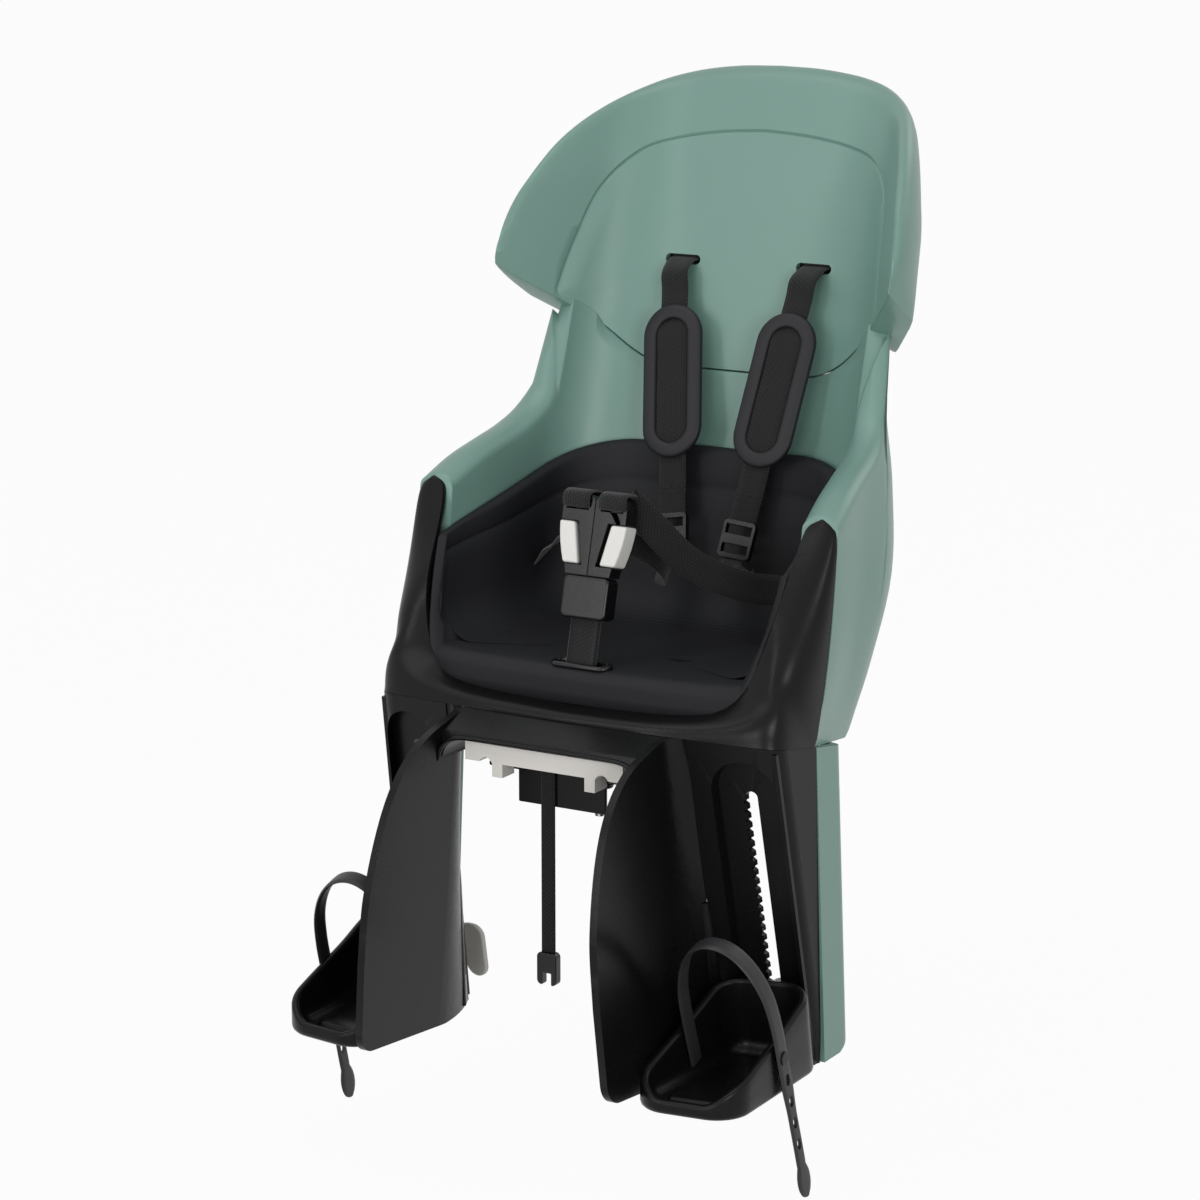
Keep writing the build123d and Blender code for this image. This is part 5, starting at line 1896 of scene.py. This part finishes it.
    def build(self) -> None:
        """Builds the foot rest's pieces."""
        self.tray()
        self.guide()
        self.strap()
        self.shop.copy_node(f"strap_peg_{self.word}", 0.8, 3)
        self.shop.copy_node(f"lock_stem_{self.word}", 0.8, 2)
        self.lever()


@dataclass
class Legs:
    """The black leg frame, with a round lip along the arch over the wheel, and the green leg covers."""

    shop: Workshop
    lip: float = 1.8
    lip_half: tuple[Triple, ...] = ((91.4, -97.5, -2), (89.6, -96.4, 8), (83.5, -95.2, 15), (74.6, -94.6, 18.2),
                                    (60, -94.2, 19.2), (30, -94, 19.4))
    web: tuple[Triple, ...] = ((115.2, -33, -104), (116.4, -28.6, -128), (118.9, -21.8, -175), (121, -15.8, -215),
                               (121.9, -13, -234))
    web_across: Triple = (0.42, 0.9, 0.0)
    web_width: Pair = (6.0, 15.0)
    web_thick: float = 2.4
    heel: Triple = (66.0, -238.0, 36.0)
    heel_margin: float = 9.0
    heel_x: Pair = (100.0, 230.0)

    def arch_lip(self) -> None:
        """Builds the lip from one fin, along the front of the deck, to the other fin."""
        left = [(-x, y, z) for x, y, z in self.lip_half]
        line, rings = through([*left, *reversed(self.lip_half)], 6), []
        for i, point in enumerate(line):
            ahead = (line[min(i + 1, len(line) - 1)] - line[max(i - 1, 0)]).normalized()
            side = ahead.cross(Vector((0, 1, 0))).normalized()
            deep = side.cross(ahead)
            size = self.lip * min(1.0, 0.2 + 0.16 * min(i, len(line) - 1 - i))
            rings.append([point + side * size * math.cos(a) + deep * size * 1.3 * math.sin(a) for a in circle(14)])
        self.shop.finish(from_rings("arch_lip", rings, angle=ROUND_ANGLE), Slot.FRAME, "seat")

    def ridge_web(self, word: str) -> None:
        """Builds the web behind the ridge between the fin's scoop and the front of the leg.

        Args:
            word: left or right.
        """
        side, (out, back, up) = SIDES[word], self.web_across
        line = through([(side * x, y, z, side * out, back, up) for x, y, z in self.web], 5)
        widths = [blend(*self.web_width, i / (len(line) - 1)) for i in range(len(line))]
        self.shop.finish(ribbon(f"ridge_web_{word}", line, widths, self.web_thick), Slot.FRAME, "seat")

    def heel_cutter(self, word: str) -> bpy.types.Object:
        """Block that rounds the lower rear corner of a leg.

        Args:
            word: left or right.

        Returns:
            The block.
        """
        y, z, radius = self.heel
        arc = [(y - radius + radius * math.cos(a), z + radius - radius * math.sin(a))
               for a in (math.pi / 2 * i / 16 for i in range(17))]
        far, low = y + self.heel_margin, z - self.heel_margin
        outline = [(far, z + radius), *arc, (y - radius, low), (far, low)]
        rings = [[Vector((SIDES[word] * x, *spot)) for spot in outline] for x in self.heel_x]
        return from_rings("heel_cutter", rings)

    def build(self) -> None:
        """Builds the legs' pieces."""
        self.shop.copy_node("leg_frame", 1.6, 3, [self.heel_cutter(word) for word in SIDES])
        self.arch_lip()
        for word in SIDES:
            self.shop.copy_node(f"leg_cover_{word}", 1.4, 3, [self.heel_cutter(word)])
            self.ridge_web(word)


@dataclass
class CarrierClamp:
    """The clamp bars, plate, screw and knob under the seat, and the safety strap that hangs at the front."""

    shop: Workshop
    strap_x: float = -11.0
    strap_y: float = -62.1
    strap_width: float = 13.0
    strap_thick: float = 1.6
    strap_top: float = 14.0
    strap_foot: float = -158.0

    def route(self) -> bpy.types.Object:
        """Line of the safety strap, as a curve through its route points.

        Returns:
            The curve.
        """
        data = bpy.data.curves.new("safety_route", "CURVE")
        data.dimensions = "3D"
        spline = data.splines.new("NURBS")
        heights = [blend(self.strap_top, self.strap_foot, i / 8) for i in range(9)]
        spline.points.add(len(heights) - 1)
        for spot, z in zip(spline.points, heights):
            spot.co = (self.strap_x * MM, self.strap_y * MM, z * MM, 1.0)
        spline.order_u = 3
        spline.use_endpoint_u = True
        data.resolution_u = 6
        return place_piece("safety_route", data)

    def safety(self) -> None:
        """Builds the hanging safety strap and the half of a clip at its end."""
        guide = self.route()
        path = [Vector(vert.co) for vert in evaluated_mesh(guide).vertices]
        bpy.data.objects.remove(guide)
        line = [Vector((*(point / MM), 1, 0, 0)) for point in path]
        strap = ribbon("safety_strap_piece", line, self.strap_width, self.strap_thick)
        self.shop.dress(strap, "safety_strap")
        clip = self.shop.copy_node("safety_buckle", 1.2, 3)

    def build(self) -> None:
        """Builds the clamp's pieces."""
        for node in ("saddle_front", "saddle_rear"):
            self.shop.copy_node(node, 1.8, 4)
        for node in ("carrier_base", "clamp_plate", "clamp_knob"):
            self.shop.copy_node(node, 1.2, 3)
        for node in ("clamp_screw", "base_screws"):
            self.shop.copy_node(node, 0.5)
        self.safety()


@dataclass(frozen=True)
class Studio:
    """Camera, soft light and a white floor that keeps the shadow."""

    target: Triple = (0.0, 0.0, 0.120)
    camera_at: Triple = (1.4129, -2.4034, 0.7580)
    lens: float = 108.0
    sensor: float = 36.0
    floor_z: float = -0.332
    floor_size: float = 30.0
    floor_tone: float = 0.55
    floor_glow: float = 0.955
    ambient: float = 0.52
    boxes: tuple[tuple[str, Triple, float, float, float], ...] = (  # name, place, width, height, power
        ("strip", (-1.0, -2.3, 0.9), 0.3, 1.7, 11.0),
        ("front", (0.3, -2.7, 0.1), 0.9, 0.8, 12.0),
        ("beside", (2.2, -1.9, 0.5), 1.0, 1.0, 24.0),
        ("top", (-0.5, -0.9, 2.6), 1.8, 1.8, 16.0),
        ("rim", (1.0, 2.2, 2.0), 1.4, 1.4, 10.0),
    )

    def build(self) -> None:
        """Builds the stage."""
        self.camera()
        self.floor()
        self.lights()
        bpy.context.scene.view_settings.view_transform = "Standard"

    def hang(self, thing: bpy.types.Object, place: Triple) -> None:
        """Hangs a camera or a light so that it looks at the target.

        Args:
            thing: the camera or light.
            place: where it hangs.
        """
        thing.location = place
        thing.rotation_euler = (Vector(self.target) - Vector(place)).to_track_quat("-Z", "Y").to_euler()
        bpy.context.scene.collection.objects.link(thing)

    def camera(self) -> None:
        """Places the camera at the photograph's angle."""
        data = bpy.data.cameras.new("camera")
        data.lens = self.lens
        data.sensor_width = self.sensor
        camera = bpy.data.objects.new("camera", data)
        self.hang(camera, self.camera_at)
        bpy.context.scene.camera = camera

    def seen(self, tree: bpy.types.NodeTree) -> Socket:
        """Adds the nodes that tell rays which see the background from rays which light the object.

        Args:
            tree: the node tree of the world or of the floor.

        Returns:
            A socket that is 1 for camera, glossy and transmission rays.
        """
        path = tree.nodes.new("ShaderNodeLightPath")
        result = path.outputs["Is Camera Ray"]
        for name in ("Is Glossy Ray", "Is Transmission Ray"):
            step = tree.nodes.new("ShaderNodeMath")
            step.operation = "MAXIMUM"
            tree.links.new(result, step.inputs[0])
            tree.links.new(path.outputs[name], step.inputs[1])
            result = step.outputs[0]
        return result

    def floor(self) -> None:
        """Lays a white floor, part of which is its own light so that it meets the white background."""
        bpy.ops.mesh.primitive_plane_add(size=self.floor_size, location=(0.0, 0.0, self.floor_z))
        floor = bpy.context.object
        floor.name = "floor"
        nodes = NodeTree("white_floor")
        nodes.shader.inputs["Base Color"].default_value = (*[self.floor_tone] * 3, 1.0)
        nodes.shader.inputs["Roughness"].default_value = 0.9
        nodes.shader.inputs["Specular IOR Level"].default_value = 0.0
        glow = nodes.add("ShaderNodeEmission")
        mix = nodes.add("ShaderNodeMixShader")
        share = nodes.math("MULTIPLY", self.seen(nodes.tree), self.floor_glow)
        nodes.link(share, mix.inputs[0])
        nodes.link(nodes.shader.outputs[0], mix.inputs[1])
        nodes.link(glow.outputs[0], mix.inputs[2])
        nodes.link(mix.outputs[0], nodes.tree.nodes["Material Output"].inputs["Surface"])
        floor.data.materials.append(nodes.material)

    def lights(self) -> None:
        """Hangs the soft boxes and sets the even surrounding light."""
        world = bpy.data.worlds.new("studio")
        world.use_nodes = True
        tree = world.node_tree
        back = tree.nodes["Background"]
        back.inputs["Color"].default_value = (1.0, 1.0, 1.0, 1.0)
        level = tree.nodes.new("ShaderNodeMapRange")
        level.inputs["To Min"].default_value = self.ambient
        level.inputs["To Max"].default_value = 1.0
        tree.links.new(self.seen(tree), level.inputs["Value"])
        tree.links.new(level.outputs["Result"], back.inputs["Strength"])
        bpy.context.scene.world = world
        for name, place, wide, high, power in self.boxes:
            data = bpy.data.lights.new(name, "AREA")
            data.shape = "RECTANGLE"
            data.size = wide
            data.size_y = high
            data.energy = power
            self.hang(bpy.data.objects.new(name, data), place)


def main() -> None:
    """Builds the seat's pieces in order."""
    logging.basicConfig(level=logging.INFO, format="%(message)s")
    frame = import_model()
    shop = Workshop(frame)
    Studio().build()
    form = SeatForm()
    Headrest(form).build(shop)
    BackShell(form).build(shop)
    FrontBezel(form).build(shop)
    SeatPad(form).build(shop)
    Harness(shop, RowOfParts()).build()
    Buckle(shop).build()
    Legs(shop).build()
    for word in SIDES:
        FootRest(shop, word).build()
    CarrierClamp(shop).build()
    bpy.context.view_layer.update()


if __name__ == "__main__":
    main()
